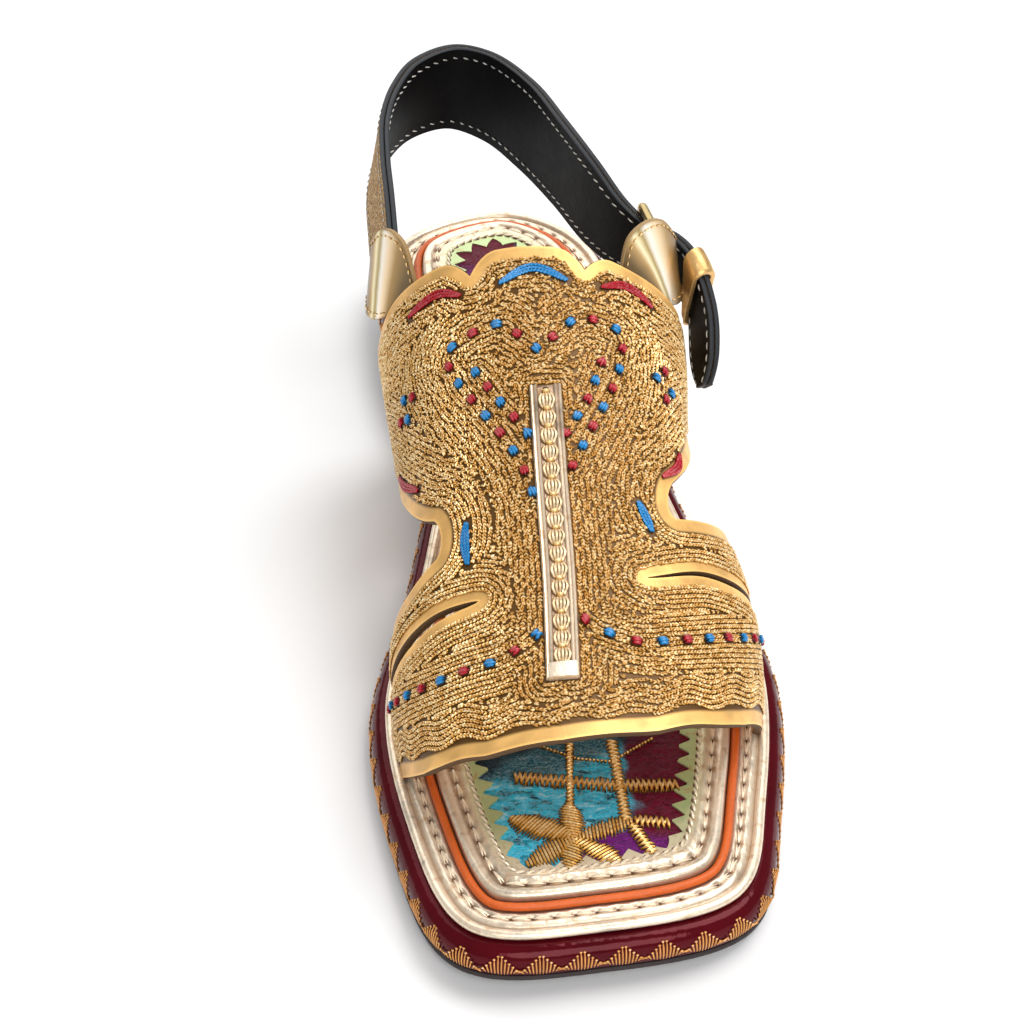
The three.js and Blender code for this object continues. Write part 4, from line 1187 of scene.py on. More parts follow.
class SANDAL_OT_footbed(bpy.types.Operator):
    """Padded gold footbed with a beaded rim, two stitch rows and a pinked edge, round a printed
    cloth inlay"""

    bl_idname = "sandal.footbed"
    bl_label = "Footbed"

    PAD = [(10.9, 14.3), (9.75, 14.9), (9.6, 16), (9.95, 16.9), (10.7, 17.45), (11.7, 17.5), (12.6, 17),
           (13.7, 17.1), (15.2, 17.75), (16.6, 17.3)]
    ROW, CHAIN = 13.7, 16.5
    CLOTH_TOP = 16.75

    def execute(self, context):
        sizes, colours = user_sizes(context), context.scene.sandal_colours
        self.pad(context, sizes)
        threads, holes = Stitches(SEED + 1), Stitches(SEED + 1)
        sewn_row(threads, holes, self.ROW, 17.0, sizes.border_stitch)
        line = raised(loop_inside(self.CHAIN), 17.45)
        centres, along, _ = even_stops(line, sizes.border_stitch / 2, closed=True)
        shape = strand_shape(2.6, 0.38, 0.2)
        turn = along + 0.35 * np.cross(UP, along)
        threads.add(shape, centres, turn, UP, tone=(0.3, 0.9))
        holes.add(bead_shape(1.4, 0.3), centres + 0.5 * np.cross(UP, along) - 0.1 * UP, along, UP)
        threads.piece("footbed_stitches", pale_thread(context), "gold_leather")
        holes.piece("footbed_pinholes", pinhole_brown(), "gold_leather")
        self.cloth(colours)
        self.gold_lines(context)
        return {"FINISHED"}

    def pad(self, context, sizes):
        profile = smooth_profile(self.PAD, 3)
        rim = swept_profile(profile)
        press = press_row(rim, profile[:, 0], self.ROW, sizes.border_stitch)
        near, far = (raised(loop_inside(inset), 17.35) for inset in (16.9, 22))
        steps = np.linalg.norm(np.roll(far, -1, 0) - far, axis=1)
        way = (np.cumsum(steps) - steps) / steps.sum()
        wave = np.abs(2 * ((way * round(steps.sum() / sizes.teeth)) % 1) - 1)
        narrow = 1 - np.clip((34 - near[:, 1]) / 22, 0, 1) * 0.4
        reach = [mix(near, far, (share * narrow)[:, None]) for share in (0.12, 0.24)]
        tips = mix(near, far, ((0.24 + 0.74 * wave) * narrow)[:, None])
        closing = [raised(loop_inside(16.6), 16.5), raised(loop_inside(16.6), 14.3)]
        grid = np.stack([*rim, *reach, tips, tips - 0.45 * UP, *closing])
        inset = np.concatenate([profile[:, 0], (17.7, 18.6, 20, 20, 16.6, 16.6)])
        pearl = np.clip((inset[:, None] - 14) / 4, 0, 1) * np.clip((grid[..., 1] - 16) / 18, 0, 1)
        groove = np.zeros(grid.shape[:2])
        groove[:len(press)] = press
        # Painted shade in the groove between the pad's beads and on its outer wall beside the cord.
        wear_and_shade = np.exp(-((inset - 12.75) / 0.5) ** 2) * 0.7 + np.clip((10.1 - inset) / 0.5, 0, 0.7)
        groove += wear_and_shade[:, None]
        piece = add_piece("padded_footbed", grid.reshape(-1, 3), [ring_faces(*grid.shape[:2])],
                          [gold_leather(context)], "gold_leather", ("footbed",), sharp=40,
                          marks={"pearl": pearl.ravel(), "groove": groove.ravel()})

    def cloth(self, colours):
        """One sheet of cloth across the shoe, rounded a little between its edges."""
        loop = loop_inside(16.7)
        half = len(loop) // 2
        lateral, medial = loop[:half + 1], np.roll(loop[::-1], 1, 0)[:half + 1]
        share = np.linspace(0, 1, 27)
        flat = mix(medial[:, None], lateral[:, None], share[None, :, None])
        height = self.CLOTH_TOP + lift(flat[..., 1]) + 0.35 * np.sin(math.pi * share) ** 0.7
        grid = np.dstack([flat, height])
        rows, columns = grid.shape[:2]
        i, j = np.meshgrid(np.arange(1, rows - 2), np.arange(columns - 1), indexing="ij")
        a = i * columns + j
        quads = np.stack([a, a + 1, a + columns + 1, a + columns], -1).reshape(-1, 4)
        points = grid.reshape(-1, 3)
        # Marks for the print's clouds, and for the painted shadow under the upper.
        marks = {name: sum(np.exp(-((points[:, 0] - x) ** 2 + (points[:, 1] - y) ** 2) / (r * r))
                           for x, y, r in spots) for name, spots in CLOTH_CLOUDS.items()}
        piece = add_piece("printed_cloth", points, [quads], [printed_satin(colours)], "satin_cloth",
                          ("insole_cloth",), marks=marks)

    def gold_lines(self, context):
        """Bars and petals of close gold strands, and the lattice that goes on under the upper to
        the heel."""
        rows = list(CLOTH_GOLD)
        for k in range(5):
            y = 78 + 38 * k
            reach = 15 if k < 2 else 11.5
            rows.append(((-reach, y), (reach, y - 3), 1.5, 0.0, 0.6))
            rows.extend(((side, y - 17), (side * 1.05, y + 15), 1.1, 0.0, 0.6) for side in (-6, 6))
        threads = Stitches(SEED + 2)
        for start, end, half, taper, pitch in rows:
            start, end = np.array(start), np.array(end)
            count = max(3, int(np.linalg.norm(end - start) / pitch))
            t = (np.arange(count) + 0.5) / count
            flat = mix(start, end, t[:, None])
            width = half * (1 - taper * np.abs(2 * t - 1) ** 2.2) * threads.rng.normal(1, 0.1, count)
            direction = unit((end - start)[None])[0]
            tilt = np.where(np.arange(count) % 2, 0.3, -0.3 if taper < 0.5 else 0.3)[:, None]
            across = np.array([-direction[1], direction[0]]) + tilt * direction
            centres = np.column_stack([flat, self.CLOTH_TOP + 0.4 + lift(flat[:, 1])])
            stretch = np.column_stack([width * 1.1, np.ones(count), np.ones(count)])
            shape = strand_shape(2.0, 0.4, 0.4, sides=5)
            lay = np.column_stack([across, np.zeros(count)])
            threads.add(shape, centres, lay, UP, stretch, (0, 0.45))
        threads.piece("cloth_gold_lines", gold_thread(context), "satin_cloth")


class SANDAL_OT_upper(bpy.types.Operator):
    """One wall of tan leather, cut by slits and notches, smooth along its edges"""

    bl_idname = "sandal.upper"
    bl_label = "Upper"

    BANDS = [("front", "slit_front", 26, False), ("slit_front", "slit_back", 1, True),
             ("slit_back", "leg_back", 14, False), ("leg_back", "wing_front", 1, True),
             ("wing_front", "top", 44, False)]
    STOPS = {
        "medial": [1, 0.93, 0.86, 0.79, 0.72, 0.65, 0.58, 0.51, 0.455, 0.415, 0.393, 0.385, 0.33,
                   0.275, 0.22, 0.162, 0.1, 0.05],
        "lateral": [0.05, 0.09, 0.131, 0.18, 0.225, 0.275, 0.315, 0.355, 0.363, 0.385, 0.44, 0.51,
                    0.58, 0.65, 0.72, 0.79, 0.86, 0.93, 1],
    }

    def execute(self, context):
        sizes, colours = user_sizes(context), context.scene.sandal_colours
        stops = np.array([-w for w in self.STOPS["medial"]] + [0] + self.STOPS["lateral"])
        places = np.linspace(0, len(stops) - 1, (len(stops) - 1) * 5 + 1)
        across = np.interp(places, np.arange(len(stops)), stops)
        edges = leather_edges(across)
        lengths, kept = [], []
        for start, end, count, cut in self.BANDS:
            last_band = end == "top"
            for k in range(count + last_band):
                lengths.append(mix(edges[start], edges[end], k / count))
                kept.append(not cut)
        y = np.array(lengths)
        outer = last.at(across[None], y)
        inner = last.at(across[None], y, -sizes.leather)
        keeps = np.repeat(np.array(kept[:-1])[:, None], len(across) - 1, 1)
        points, top, low, rim, n = sheet_mesh(outer, inner, keeps)
        border = np.unique(rim[rim < n])
        border = border[points[border, 2] > MIDSOLE_TOP + GAP + lift(points[border, 1]) + 0.5]
        edge = np.tile(nearest_distance(points[:n], points[border]), 4)
        edge_finish = cut_edge("tan_edge", (0.1, 0.05, 0.018))
        finishes = [stitched_leather(colours.tan), suede_lining(colours.tan), edge_finish]
        add_piece("leather_upper", points, [top, low, rim], finishes, "embroidered_leather", ("upper",),
                  finish_of=(0, 1, 2), marks={"edge": edge})
        return {"FINISHED"}


# Rows of embroidery: lines of equal distance from the leather's edges and from the coloured lines
CELL_SEGMENTS = {
    1: [(3, 0)], 2: [(0, 1)], 3: [(3, 1)], 4: [(1, 2)], 5: [(3, 0), (1, 2)], 6: [(0, 2)],
    7: [(3, 2)], 8: [(2, 3)], 9: [(2, 0)], 10: [(0, 1), (2, 3)], 11: [(2, 1)], 12: [(1, 3)],
    13: [(1, 0)], 14: [(0, 3)],
}


def level_lines(field, level):
    """Lines, in grid steps, along which the field has the level."""
    above = (field > level).astype(int)
    code = above[:-1, :-1] + 2 * above[:-1, 1:] + 4 * above[1:, 1:] + 8 * above[1:, :-1]
    beside = {}
    for r, c in zip(*np.nonzero((code > 0) & (code < 15))):
        sides = ((0, r, c), (1, r, c + 1), (0, r + 1, c), (1, r, c))
        for a, b in CELL_SEGMENTS[code[r, c]]:
            beside.setdefault(sides[a], []).append(sides[b])
            beside.setdefault(sides[b], []).append(sides[a])

    def crossing(side):
        upright, r, c = side
        first = field[r, c]
        second = field[r + 1, c] if upright else field[r, c + 1]
        t = (level - first) / (second - first)
        return (r + t, c) if upright else (r, c + t)

    lines = []
    ends = [side for side, others in beside.items() if len(others) == 1]
    for start in ends + list(beside):
        if start not in beside:
            continue
        line, side = [start], start
        while side in beside:
            following = [other for other in beside.pop(side) if other in beside]
            if not following:
                break
            side = following[0]
            line.append(side)
        lines.append(np.array([crossing(side) for side in line]))
    return lines


class SANDAL_OT_embroidery(bpy.types.Operator):
    """Rows of twisted gold thread over the leather, with blue and red dots, crosses and crescents"""

    bl_idname = "sandal.embroidery"
    bl_label = "Embroidery"

    GRID = (288, 341)
    FIRST_Y, LAST_Y = 27.0, 196.0
    BORDERS = {"front": 4.4, "slit_front": 2.5, "slit_back": 2.5, "leg_back": 4.1,
               "wing_front": 4.1, "top": 3.0}
    NEAR_LINE = 0.1
    NEAR_PLACKET = 0.6
    FIRST_ROW = 0.5
    DOT_ROOM = 1.4
    CRESCENT_ROOM = 1.3
    FILL_ROOM = 1.04
    SLANT = 0.45
    WING_START = 96
    NEAT_SIDES = 20

    def execute(self, context):
        self.rng = np.random.default_rng(SEED + 2)
        sizes = user_sizes(context)
        dots, crescents, lines = self.motifs()
        across, y, field, cover = self.row_field(lines)
        centres, along, normals = self.rows(across, y, field, sizes)
        taken = np.concatenate([dots["centres"]] + [c["path"] for c in crescents])
        room = np.concatenate([np.full(len(dots["centres"]), self.DOT_ROOM),
                               np.full(len(taken) - len(dots["centres"]), self.CRESCENT_ROOM)])
        free = self.clear_of(centres, taken, room)
        centres, along, normals = centres[free], along[free], normals[free]
        centres, along, normals = self.fill(across, y, cover, centres, along, normals, taken, room)
        self.stitch(context, sizes, centres, along, normals)
        self.coloured(context, sizes, dots, crescents)
        return {"FINISHED"}

    def motifs(self):
        """Places of the dots, crescents and coloured lines on the leather."""
        spots, threads, directions, lines = [], [], [], []
        for row in DOT_LINES:
            place = open_curve(np.array(row["path"]), np.linspace(0, 1, 120))
            path = last.at(place[:, 0], place[:, 1])
            lines.append(path)
            lengths = np.concatenate([[0], np.cumsum(np.linalg.norm(np.diff(path, axis=0), axis=1))])
            stops = np.linspace(0, lengths[-1], row["dots"])
            w, v = (np.interp(stops, lengths, place[:, k]) for k in (0, 1))
            other = {"blue": "red", "red": "blue"}[row["first"]]
            for k in range(row["dots"]):
                spots.append((w[k], v[k]))
                threads.append(row["first"] if k % 2 == 0 else other)
                i = int(np.searchsorted(lengths, stops[k]))
                directions.append(path[min(i + 2, 119)] - path[max(i - 2, 0)])
        for cross in CROSSES:
            w, v = cross["centre"]
            for dw, dv, name in ((0, cross["along"], "ends"), (0, -cross["along"], "ends"),
                                 (cross["over"], 0, "sides"), (-cross["over"], 0, "sides")):
                spots.append((w + dw, v + dv))
                threads.append(cross[name])
                directions.append(last.at(w + dw * 1.2, v + dv * 1.2) - last.at(w, v))
        spots = np.array(spots)
        centres = last.at(spots[:, 0], spots[:, 1])
        normals = last.normal(spots[:, 0], spots[:, 1])
        dots = {"centres": centres, "normals": normals, "threads": np.array(threads),
                "along": np.array(directions)}
        crescents = []
        for row in CRESCENTS:
            place = open_curve(np.array(row["path"]), np.linspace(0, 1, 40))
            crescents.append({"thread": row["thread"], "path": last.at(place[:, 0], place[:, 1]),
                              "normals": last.normal(place[:, 0], place[:, 1])})
        return dots, crescents, lines

    def row_field(self, lines):
        """How far each place lies inside the stitched ground, and how far from all that rows run
        along."""
        rows, columns = self.GRID
        y = np.linspace(self.FIRST_Y, self.LAST_Y, rows)[:, None] + np.zeros((1, columns))
        across = np.linspace(-1, 1, columns)[None] + np.zeros((rows, 1))
        places = last.at(across, y).reshape(-1, 3)
        edges = leather_edges(across[0])
        inside = ((y > edges["front"]) & (y < edges["slit_front"])) | ((y > edges["slit_back"])
                  & (y < edges["leg_back"])) | ((y > edges["wing_front"]) & (y < edges["top"]))
        tips = [np.linspace(tip, tip + 0.04, 60) for tip in (SLIT_TIP, *NOTCH_TIP.values())]
        close = np.sort(np.concatenate([np.linspace(0, 1, 500), *tips]))
        close = np.concatenate([-close[::-1], close])
        fine = leather_edges(close)
        tip = by_side(close, NOTCH_TIP["medial"], NOTCH_TIP["lateral"])
        cuts = {"slit": np.abs(close) >= SLIT_TIP, "leg": np.abs(close) >= tip,
                "wing": np.abs(close) >= tip}
        cover = np.full(len(places), 99.0)
        girth = last.girth(across, y).ravel()
        for name, border in self.BORDERS.items():
            real = cuts.get(name.split("_")[0], np.ones(len(close), bool))
            away = nearest_distance(places, last.at(close[real], fine[name][real]))
            if name == "front":
                border = border + 0.7 * np.sin(girth * 2 * math.pi / 13.5)
            cover = np.minimum(cover, away - border)
        beside = np.maximum(np.abs(girth - PLACKET_SHIFT) - PLACKET_HALF, 0)
        beyond = np.maximum(np.maximum(PLACKET_START - y, y - PLACKET_END).ravel(), 0)
        cover = np.minimum(cover, np.hypot(beside, beyond) - self.NEAR_PLACKET)
        cover[~inside.ravel()] = -9
        field = np.minimum(cover, nearest_distance(places, np.concatenate(lines)) - self.NEAR_LINE)
        return across, y, field.reshape(rows, columns), cover.reshape(rows, columns)

    def rows(self, across, y, field, sizes):
        rows, columns = self.GRID
        found = []
        for level in np.arange(self.FIRST_ROW, field.max(), sizes.row):
            for line in level_lines(field, level):
                v = mix(self.FIRST_Y, self.LAST_Y, line[:, 0] / (rows - 1))
                w = line[:, 1] / (columns - 1) * 2 - 1
                path = last.at(w, v)
                steps = np.linalg.norm(np.diff(path, axis=0), axis=1)
                if steps.sum() < sizes.stitch:
                    continue
                centres, along, share = even_stops(path, sizes.stitch)
                way = np.concatenate([[0], np.cumsum(steps)]) / steps.sum()
                normals = last.normal(np.interp(share, way, w), np.interp(share, way, v))
                found.append((centres, along, normals))
        return tuple(np.concatenate(parts) for parts in zip(*found))

    def clear_of(self, centres, taken, room):
        apart = np.linalg.norm(centres[:, None] - taken[None], axis=2)
        return (apart > room[None]).all(1)

    def fill(self, across, y, cover, centres, along, normals, taken, room):
        """Single stitches in the places that the rows leave bare."""
        open_ground = cover > self.FIRST_ROW - 0.2
        spots = last.at(across[open_ground], y[open_ground])
        faces = last.normal(across[open_ground], y[open_ground])
        tree = kdtree.KDTree(len(centres))
        for k, centre in enumerate(centres):
            tree.insert(centre, k)
        tree.balance()
        near = [tree.find(spot) for spot in spots]
        gap = np.array([hit[2] for hit in near])
        order = [k for k in np.argsort(-gap) if gap[k] > self.FILL_ROOM]
        added = []
        for k in order:
            if added and np.linalg.norm(spots[added] - spots[k], axis=1).min() < self.FILL_ROOM:
                continue
            if (np.linalg.norm(taken - spots[k], axis=1) > room * 0.95).all():
                added.append(k)
        lines = np.array([along[near[k][1]] for k in added])
        return (np.concatenate([centres, spots[added]]), np.concatenate([along, lines]),
                np.concatenate([normals, faces[added]]))

    def stitch(self, context, sizes, centres, along, normals):
        """Twists of gold thread along the rows, neat on the band and looser on the wing."""
        count = len(centres)
        wing = centres[:, 1] > self.WING_START
        neat = ~wing & (np.abs(centres[:, 0]) > self.NEAT_SIDES)
        loose = np.where(neat, 0.13, 0.42)[:, None]
        side = np.cross(normals, along)
        slant = self.SLANT + loose * self.rng.normal(0, 1, (count, 1))
        wander = self.rng.normal(0, 0.4, (count, 1))
        centres = centres + side * loose * wander + normals * sizes.yarn * 0.75
        stretch = self.rng.normal(1, 0.08, (count, 3)).clip(0.8, 1.25)
        shape = bead_shape(sizes.stitch * 1.45, sizes.yarn, sides=4)
        parts = {"band_stitches": ~wing, "wing_stitches_medial": wing & (centres[:, 0] < 0),
                 "wing_stitches_lateral": wing & (centres[:, 0] >= 0)}
        for name, part in parts.items():
            threads = Stitches(SEED)
            for way in (-1, 1):
                spots = centres[part] + side[part] * way * sizes.row * 0.17
                turn = (along + way * slant * side)[part]
                threads.add(shape, spots, turn, normals[part], stretch[part])
            threads.piece(name, gold_thread(context), "embroidered_leather")

    def coloured(self, context, sizes, dots, crescents):
        colours = context.scene.sandal_colours
        for name, colour in (("blue", colours.blue), ("red", colours.red)):
            # Pale and dark colours of the blue and red threads are painted highlight and painted shade.
            pale = tuple(mix(np.array(colour[:3]), 1.0, 0.1))
            finish = thread(name + "_thread", shade(colour, 0.12), colour, pale, 0.1, 0.22)
            threads = Stitches(SEED)
            mine = dots["threads"] == name
            normals = dots["normals"][mine]
            side = unit(np.cross(normals, dots["along"][mine]))
            for offset in (-0.62, 0, 0.62):
                centres = dots["centres"][mine] + side * offset + normals * (0.7 - 0.25 * abs(offset))
                turn = dots["along"][mine] + side * threads.rng.normal(0, 0.15, (len(centres), 1))
                shape = strand_shape(3.1 - 0.9 * abs(offset), 0.46, 0.5)
                threads.add(shape, centres, turn, normals, tone=(0.1, 0.6))
            for crescent in (c for c in crescents if c["thread"] == name):
                bow = np.sin(np.linspace(0, math.pi, 40))[:, None] ** 0.6
                along = unit(np.gradient(crescent["path"], axis=0))
                for offset in (-0.8, 0, 0.8):
                    path = crescent["path"] + np.cross(crescent["normals"], along) * offset * bow
                    centres, ahead, share = even_stops(path + crescent["normals"] * 0.45, sizes.stitch)
                    faces = crescent["normals"][(share * 39).astype(int)]
                    turn = ahead + np.cross(faces, ahead) * self.SLANT
                    threads.add(bead_shape(sizes.stitch * 1.7, 0.43), centres, turn, faces, tone=(0, 0.6))
            threads.piece(name + "_motifs", finish, "embroidered_leather")


class SANDAL_OT_placket(bpy.types.Operator):
    """Raised strip down the ridge: two smooth rails, and knots with a hole between each two"""

    bl_idname = "sandal.placket"
    bl_label = "Placket"

    RAIL = [(-3.75, 0.3), (-3.75, 1.3), (-3.5, 1.8), (-3.15, 1.7), (-2.9, 1.4), (-2.65, 1.6),
            (-2.35, 1.75), (-2.05, 1.5), (-1.9, 0.8)]
    KNOT = 4.4
    SHEAF = 5
    FLAP = 3.4

    def execute(self, context):
        rib = self.RAIL + [(-over, high) for over, high in reversed(self.RAIL)]
        self.strip(context, "placket_rails", rib, PLACKET_START, PLACKET_END, ("placket",))
        flap = [(-3.3, 1.5), (-3.1, 2.1), (-1.5, 2.3), (1.5, 2.3), (3.1, 2.1), (3.3, 1.5)]
        self.strip(context, "placket_flap", flap, PLACKET_START - 0.2, PLACKET_START + self.FLAP)
        self.knots(context)
        return {"FINISHED"}

    def strip(self, context, name, section, start, end, stands_for=()):
        y = np.linspace(start, end, max(6, int(end - start)))
        sides = []
        for shape in (section, [(over, GAP * 0.5) for over, _ in section]):
            row = [last.at(last.across_at(np.full(len(y), over + PLACKET_SHIFT), y), y, high)
                   for over, high in shape]
            sides.append(row)
        points, top, low, rim, _ = sheet_mesh(*(np.stack(side, 1) for side in sides), roll=0.1)
        ridge = last.at(last.across_at(np.full(len(points), PLACKET_SHIFT), points[:, 1]), points[:, 1])
        over = np.abs(points[:, 0] - ridge[:, 0])
        deep = (over < 2.1) | (np.abs(over - 2.9) < 0.15)
        # Painted shade in the trough between the rails and in the rails' grooves.
        groove = np.where(deep, 0.85 if stands_for else 0, 0)
        add_piece(name, points, [top, low, rim], [gold_leather(context)], "gold_leather", stands_for,
                  sharp=60, marks={"groove": groove})

    def knots(self, context):
        """Sheaves of cream strands, drawn in at a brown neck between each two."""
        threads, necks, holes = Stitches(SEED + 3), Stitches(SEED + 3), Stitches(SEED + 3)
        y = np.arange(PLACKET_START + self.FLAP + self.KNOT / 2, PLACKET_END - 1, self.KNOT)
        flat = np.full(len(y), PLACKET_SHIFT)
        for place in np.linspace(-1, 1, self.SHEAF):
            stops = []
            for t in np.linspace(-0.5, 0.5, 7):
                bow = math.cos(math.pi * t)
                at = y + t * self.KNOT
                w = last.across_at(flat + place * (0.75 + 0.95 * bow), at)
                stops.append(last.at(w, at, 0.75 + (1.25 - 0.55 * abs(place)) * bow))
            centre = last.across_at(flat, y)
            threads.tubes(np.stack(stops, 1), last.normal(centre, y), 0.42, tone=(0, 0.4))
        at = y + self.KNOT / 2
        w = last.across_at(flat, at)
        beside = last.at(w + 0.01, at) - last.at(w, at)
        shape = strand_shape(2.0, 0.7, 0.2)
        place = last.at(w, at, 1.15)
        necks.add(shape, place, beside, last.normal(w, at), tone=(0.2, 0.6))
        holes.add(bead_shape(1.5, 0.5), last.at(w, at + 0.85, 1.0), beside, last.normal(w, at))
        threads.piece("placket_knots", cream_thread(), "gold_leather")
        necks.piece("placket_necks", gold_thread(context), "gold_leather")
        holes.piece("placket_holes", pinhole_brown(), "gold_leather")


# Heel strap and what holds it
def strap_point(t, share):
    return mix(open_curve(STRAP_UPPER, t), open_curve(STRAP_LOWER, t), np.asarray(share)[..., None])


def grid_normals(grid):
    return unit(np.cross(np.gradient(grid, axis=1), np.gradient(grid, axis=0)))


def running_stitches(threads, path, normals, pitch, radius, tone=(0, 1)):
    """Straight stitches with gaps along a line of points."""
    centres, along, way = even_stops(path, pitch)
    at = np.clip((way * (len(path) - 1)).round().astype(int), 0, len(path) - 1)
    threads.add(strand_shape(pitch * 0.66, radius, radius * 0.6), centres, along, normals[at], tone=tone)


class SANDAL_OT_tabs(bpy.types.Operator):
    """Gold tabs, wrapped from under the wing round the strap's end and the buckle's bar"""

    bl_idname = "sandal.tabs"
    bl_label = "Tabs"

    FREE = 10

    def execute(self, context):
        for name, row in TABS.items():
            middle = self.wrapped(row)
            if row["outward"] < 0:
                middle = middle[::-1]
            normals = grid_normals(middle)
            outer, inner = middle + normals * TAB_THICK / 2, middle - normals * TAB_THICK / 2
            points, top, low, rim, _ = sheet_mesh(outer, inner, roll=0.3)
            colour = context.scene.sandal_colours.tab
            edge_finish = cut_edge(name + "_edge", shade(colour, 0.5))
            finishes = [made_once("rolled_foil", rolled_foil, colour), edge_finish]
            over = outer[..., 0]
            ends = [limit(over[:, self.FREE:], axis=1, keepdims=True) for limit in (np.min, np.max)]
            # Turn mark: place across the roll, which picks the painted highlight and painted shade
            # streaks.
            turn = np.clip((over - ends[0]) / (ends[1] - ends[0]), 0, 1).ravel()
            add_piece(name + "_leather", points, [top, low, rim], finishes, "gold_leather", (name,),
                      finish_of=(0, 0, 1), marks={"turn": turn[nearest(points, outer.reshape(-1, 3))[0]]})
            threads = Stitches(SEED + 4)
            for line in (2, -3):
                running_stitches(threads, outer[line, 5:-2], normals[line, 5:-2], 2.2, 0.24, (0.4, 0.7))
            threads.piece(name + "_stitches", gold_thread(context), "gold_leather")
        return {"FINISHED"}

    def wrapped(self, row):
        share = np.linspace(0, 1, 33)
        under = -LEATHER - GAP - TAB_THICK / 2
        across = mix(*row["flap"], share)
        edge = leather_edges(across)["top"]
        end = last.at(across, edge - FLAP_UNDER, under)
        out = last.at(across, edge + FLAP_PAST_EDGE, under)
        stops = np.stack([out] + [mix(*np.array(line, float), share[:, None]) for line in row["wrap"]], 1)
        path = np.stack([open_curve(line, np.linspace(0, 1, 61)) for line in stops])
        hidden = mix(end[:, None], out[:, None], np.linspace(0, 1, 7)[None, :-1, None])
        return np.concatenate([hidden, path], 1)


class SANDAL_OT_heel_strap(bpy.types.Operator):
    """Heel strap of two layers, black inside and glittering gold outside, with white running stitches"""

    bl_idname = "sandal.heel_strap"
    bl_label = "Heel strap"

    ROWS = 260
    COLUMNS = 15
    TIP = 5 / 52
    HOLE = 0.6923
    STITCH_IN = 0.1

    def execute(self, context):
        colours, sizes = context.scene.sandal_colours, user_sizes(context)
        t = np.linspace(0, 1, self.ROWS + 1)
        left = np.maximum(0, 1 - (1 - t) / self.TIP)
        narrow = np.maximum(0.35, np.sqrt(1 - left ** 2))
        share = np.linspace(0, 1, self.COLUMNS)
        upper, lower = open_curve(STRAP_UPPER, t), open_curve(STRAP_LOWER, t)
        place = 0.5 + (share[None] - 0.5) * narrow[:, None]
        middle = mix(upper[:, None], lower[:, None], place[..., None])
        normals = grid_normals(middle)
        keeps = np.ones((self.ROWS, self.COLUMNS - 1), bool)
        hole = int(round(self.HOLE * self.ROWS))
        keeps[hole - 3:hole + 3, self.COLUMNS // 2 - 1:self.COLUMNS // 2 + 1] = False
        edge = cut_edge("strap_edge", linear(0x181C22))
        half = STRAP_THICK / 2
        lining_finish = plain_leather("strap_lining", colours.black, 0.5)
        face_finish = glitter_leather(colours.glitter)
        layers = (("strap_lining", half, 0.12, lining_finish, ("heel_strap",)),
                  ("strap_face", -0.12, -half, face_finish, ()))
        for name, top_at, low_at, finish, stands_for in layers:
            outer, inner = middle + normals * top_at, middle + normals * low_at
            points, top, low, rim, _ = sheet_mesh(outer, inner, keeps, 0.2)
            add_piece(name, points, [top, low, rim], [finish, edge], "black_leather", stands_for,
                      finish_of=(0, 0, 1))
        # Dark and pale colours of the white thread are painted shade and painted highlight.
        white = thread("white_thread", (0.3, 0.29, 0.27), (0.5, 0.49, 0.45), (0.75, 0.73, 0.68), 0.0, 0.5)
        threads = Stitches(SEED + 5)
        across = normals[:, self.COLUMNS // 2]
        for inset in (self.STITCH_IN, 1 - self.STITCH_IN):
            line = mix(upper, lower, (0.5 + (inset - 0.5) * narrow)[:, None])
            for side in (1, -1):
                path = line + across * side * half
                running_stitches(threads, path, across * side, sizes.strap_stitch, 0.21)
        threads.piece("strap_stitches", white, "black_leather")
        return {"FINISHED"}


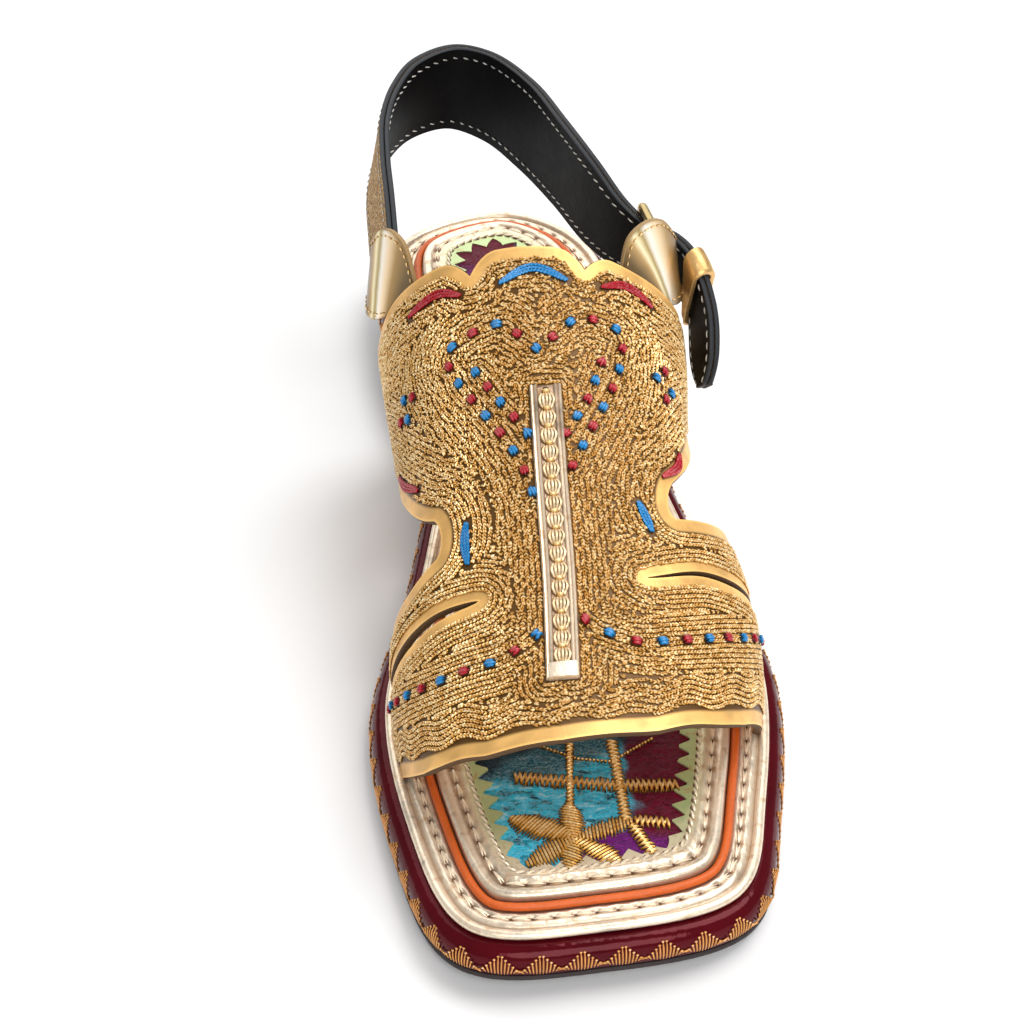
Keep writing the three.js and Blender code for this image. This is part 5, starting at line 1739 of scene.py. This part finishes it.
class SANDAL_OT_buckle(bpy.types.Operator):
    """Brass frame and prong, and the gold keeper round the strap's tail"""

    bl_idname = "sandal.buckle"
    bl_label = "Buckle"

    DEPTH, ABOVE, BELOW, CORNER = 18.5, -5.0, 3.2, 3.5
    BACK = (-0.1, 0.99, 0)
    KEEPER_START, KEEPER_END = 0.818, 0.85
    KEEPER_THICK, KEEPER_CLEAR, KEEPER_SLACK = 1.3, 0.6, 0.7

    def execute(self, context):
        colours = context.scene.sandal_colours
        brass = polished_brass(colours.brass)
        low, high = (np.array(BUCKLE_BAR[end], float) for end in ("low", "high"))
        axis = unit((high - low)[None])[0]
        back = np.array(self.BACK)
        back = unit((back - axis * (back @ axis))[None])[0]
        self.frame_ring(brass, low, high, axis, back)
        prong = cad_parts["buckle_prong"]
        prong.data.materials.clear()
        prong.data.materials.append(brass)
        self.keeper(context)
        return {"FINISHED"}

    def frame_ring(self, brass, low, high, axis, back):
        origin = low - axis * self.BELOW
        height = np.linalg.norm(high - low) + self.BELOW + self.ABOVE
        near, far, top = self.CORNER, self.DEPTH - self.CORNER, height - self.CORNER
        path = []
        for c, (over, up) in enumerate(((near, near), (far, near), (far, top), (near, top))):
            for angle in math.pi * (1 + c / 2 + np.linspace(0, 0.5, 9)):
                path.append(origin + back * (over + self.CORNER * math.cos(angle))
                            + axis * (up + self.CORNER * math.sin(angle)))
        path = np.array(path)
        side = np.cross(back, axis)
        away = unit(np.cross(np.roll(path, -1, 0) - np.roll(path, 1, 0), side))
        turn = np.arange(14) * 2 * math.pi / 14
        ring = np.cos(turn)[None, :, None] * away[:, None] + np.sin(turn)[None, :, None] * side
        points = (path[:, None] + WIRE_RADIUS * ring).reshape(-1, 3)
        faces = ring_faces(len(path), 14)[:, ::-1]
        add_piece("brass_frame", points, [faces], [brass], "buckle_metal", ("buckle_frame",))

    def keeper(self, context):
        t = np.linspace(self.KEEPER_START, self.KEEPER_END, 9)
        top, bottom = open_curve(STRAP_UPPER, t), open_curve(STRAP_LOWER, t)
        down = unit(bottom - top)
        along = strap_point(t + 0.005, np.full(9, 0.5)) - strap_point(t - 0.005, np.full(9, 0.5))
        out = unit(np.cross(down, along))
        angle = np.linspace(-math.pi / 2, math.pi / 2, 13)[None, :, None]
        sides = []
        for clear in (self.KEEPER_CLEAR + self.KEEPER_THICK, self.KEEPER_CLEAR):
            rounding = STRAP_THICK / 2 + clear
            reach = clear + self.KEEPER_SLACK + rounding * (np.cos(angle) - 1)
            swing = out[:, None] * rounding * np.sin(angle)
            loop = np.concatenate([top[:, None] - down[:, None] * reach + swing,
                                   bottom[:, None] + down[:, None] * reach - swing], 1)
            sides.append(np.concatenate([loop, loop[:, :1]], 1))
        points, skin, lining, rim, _ = sheet_mesh(*sides, roll=0.15)
        add_piece("keeper_loop", points, [skin, lining, rim], [tab_leather(context)], "gold_leather",
                  ("keeper",))


class SANDAL_PT_panel(bpy.types.Panel):
    """Sizes, colours and steps of the sandal"""

    bl_label = "Sandal"
    bl_idname = "SANDAL_PT_panel"
    bl_space_type = "VIEW_3D"
    bl_region_type = "UI"
    bl_category = "Sandal"

    def draw(self, context):
        for step in STEPS:
            self.layout.operator(step.bl_idname)
        for group in (context.scene.sandal_sizes, context.scene.sandal_colours):
            for name in group.bl_rna.properties.keys():
                if name not in {"rna_type", "name"}:
                    self.layout.prop(group, name)


STEPS = (SANDAL_OT_stage, SANDAL_OT_sole, SANDAL_OT_footbed, SANDAL_OT_upper, SANDAL_OT_embroidery,
         SANDAL_OT_placket, SANDAL_OT_tabs, SANDAL_OT_heel_strap, SANDAL_OT_buckle)
CLASSES = (SandalSizes, SandalColours, *STEPS, SANDAL_PT_panel)


def register():
    for made in CLASSES:
        bpy.utils.register_class(made)
    bpy.types.Scene.sandal_sizes = PointerProperty(type=SandalSizes)
    bpy.types.Scene.sandal_colours = PointerProperty(type=SandalColours)


def unregister():
    del bpy.types.Scene.sandal_colours
    del bpy.types.Scene.sandal_sizes
    for made in reversed(CLASSES):
        bpy.utils.unregister_class(made)


def main():
    register()
    bpy.ops.sandal.stage()
    bpy.ops.sandal.sole()
    bpy.ops.sandal.footbed()
    bpy.ops.sandal.upper()
    bpy.ops.sandal.embroidery()
    bpy.ops.sandal.placket()
    bpy.ops.sandal.tabs()
    bpy.ops.sandal.heel_strap()
    bpy.ops.sandal.buckle()
    bpy.context.view_layer.update()


if __name__ == "__main__":
    main()
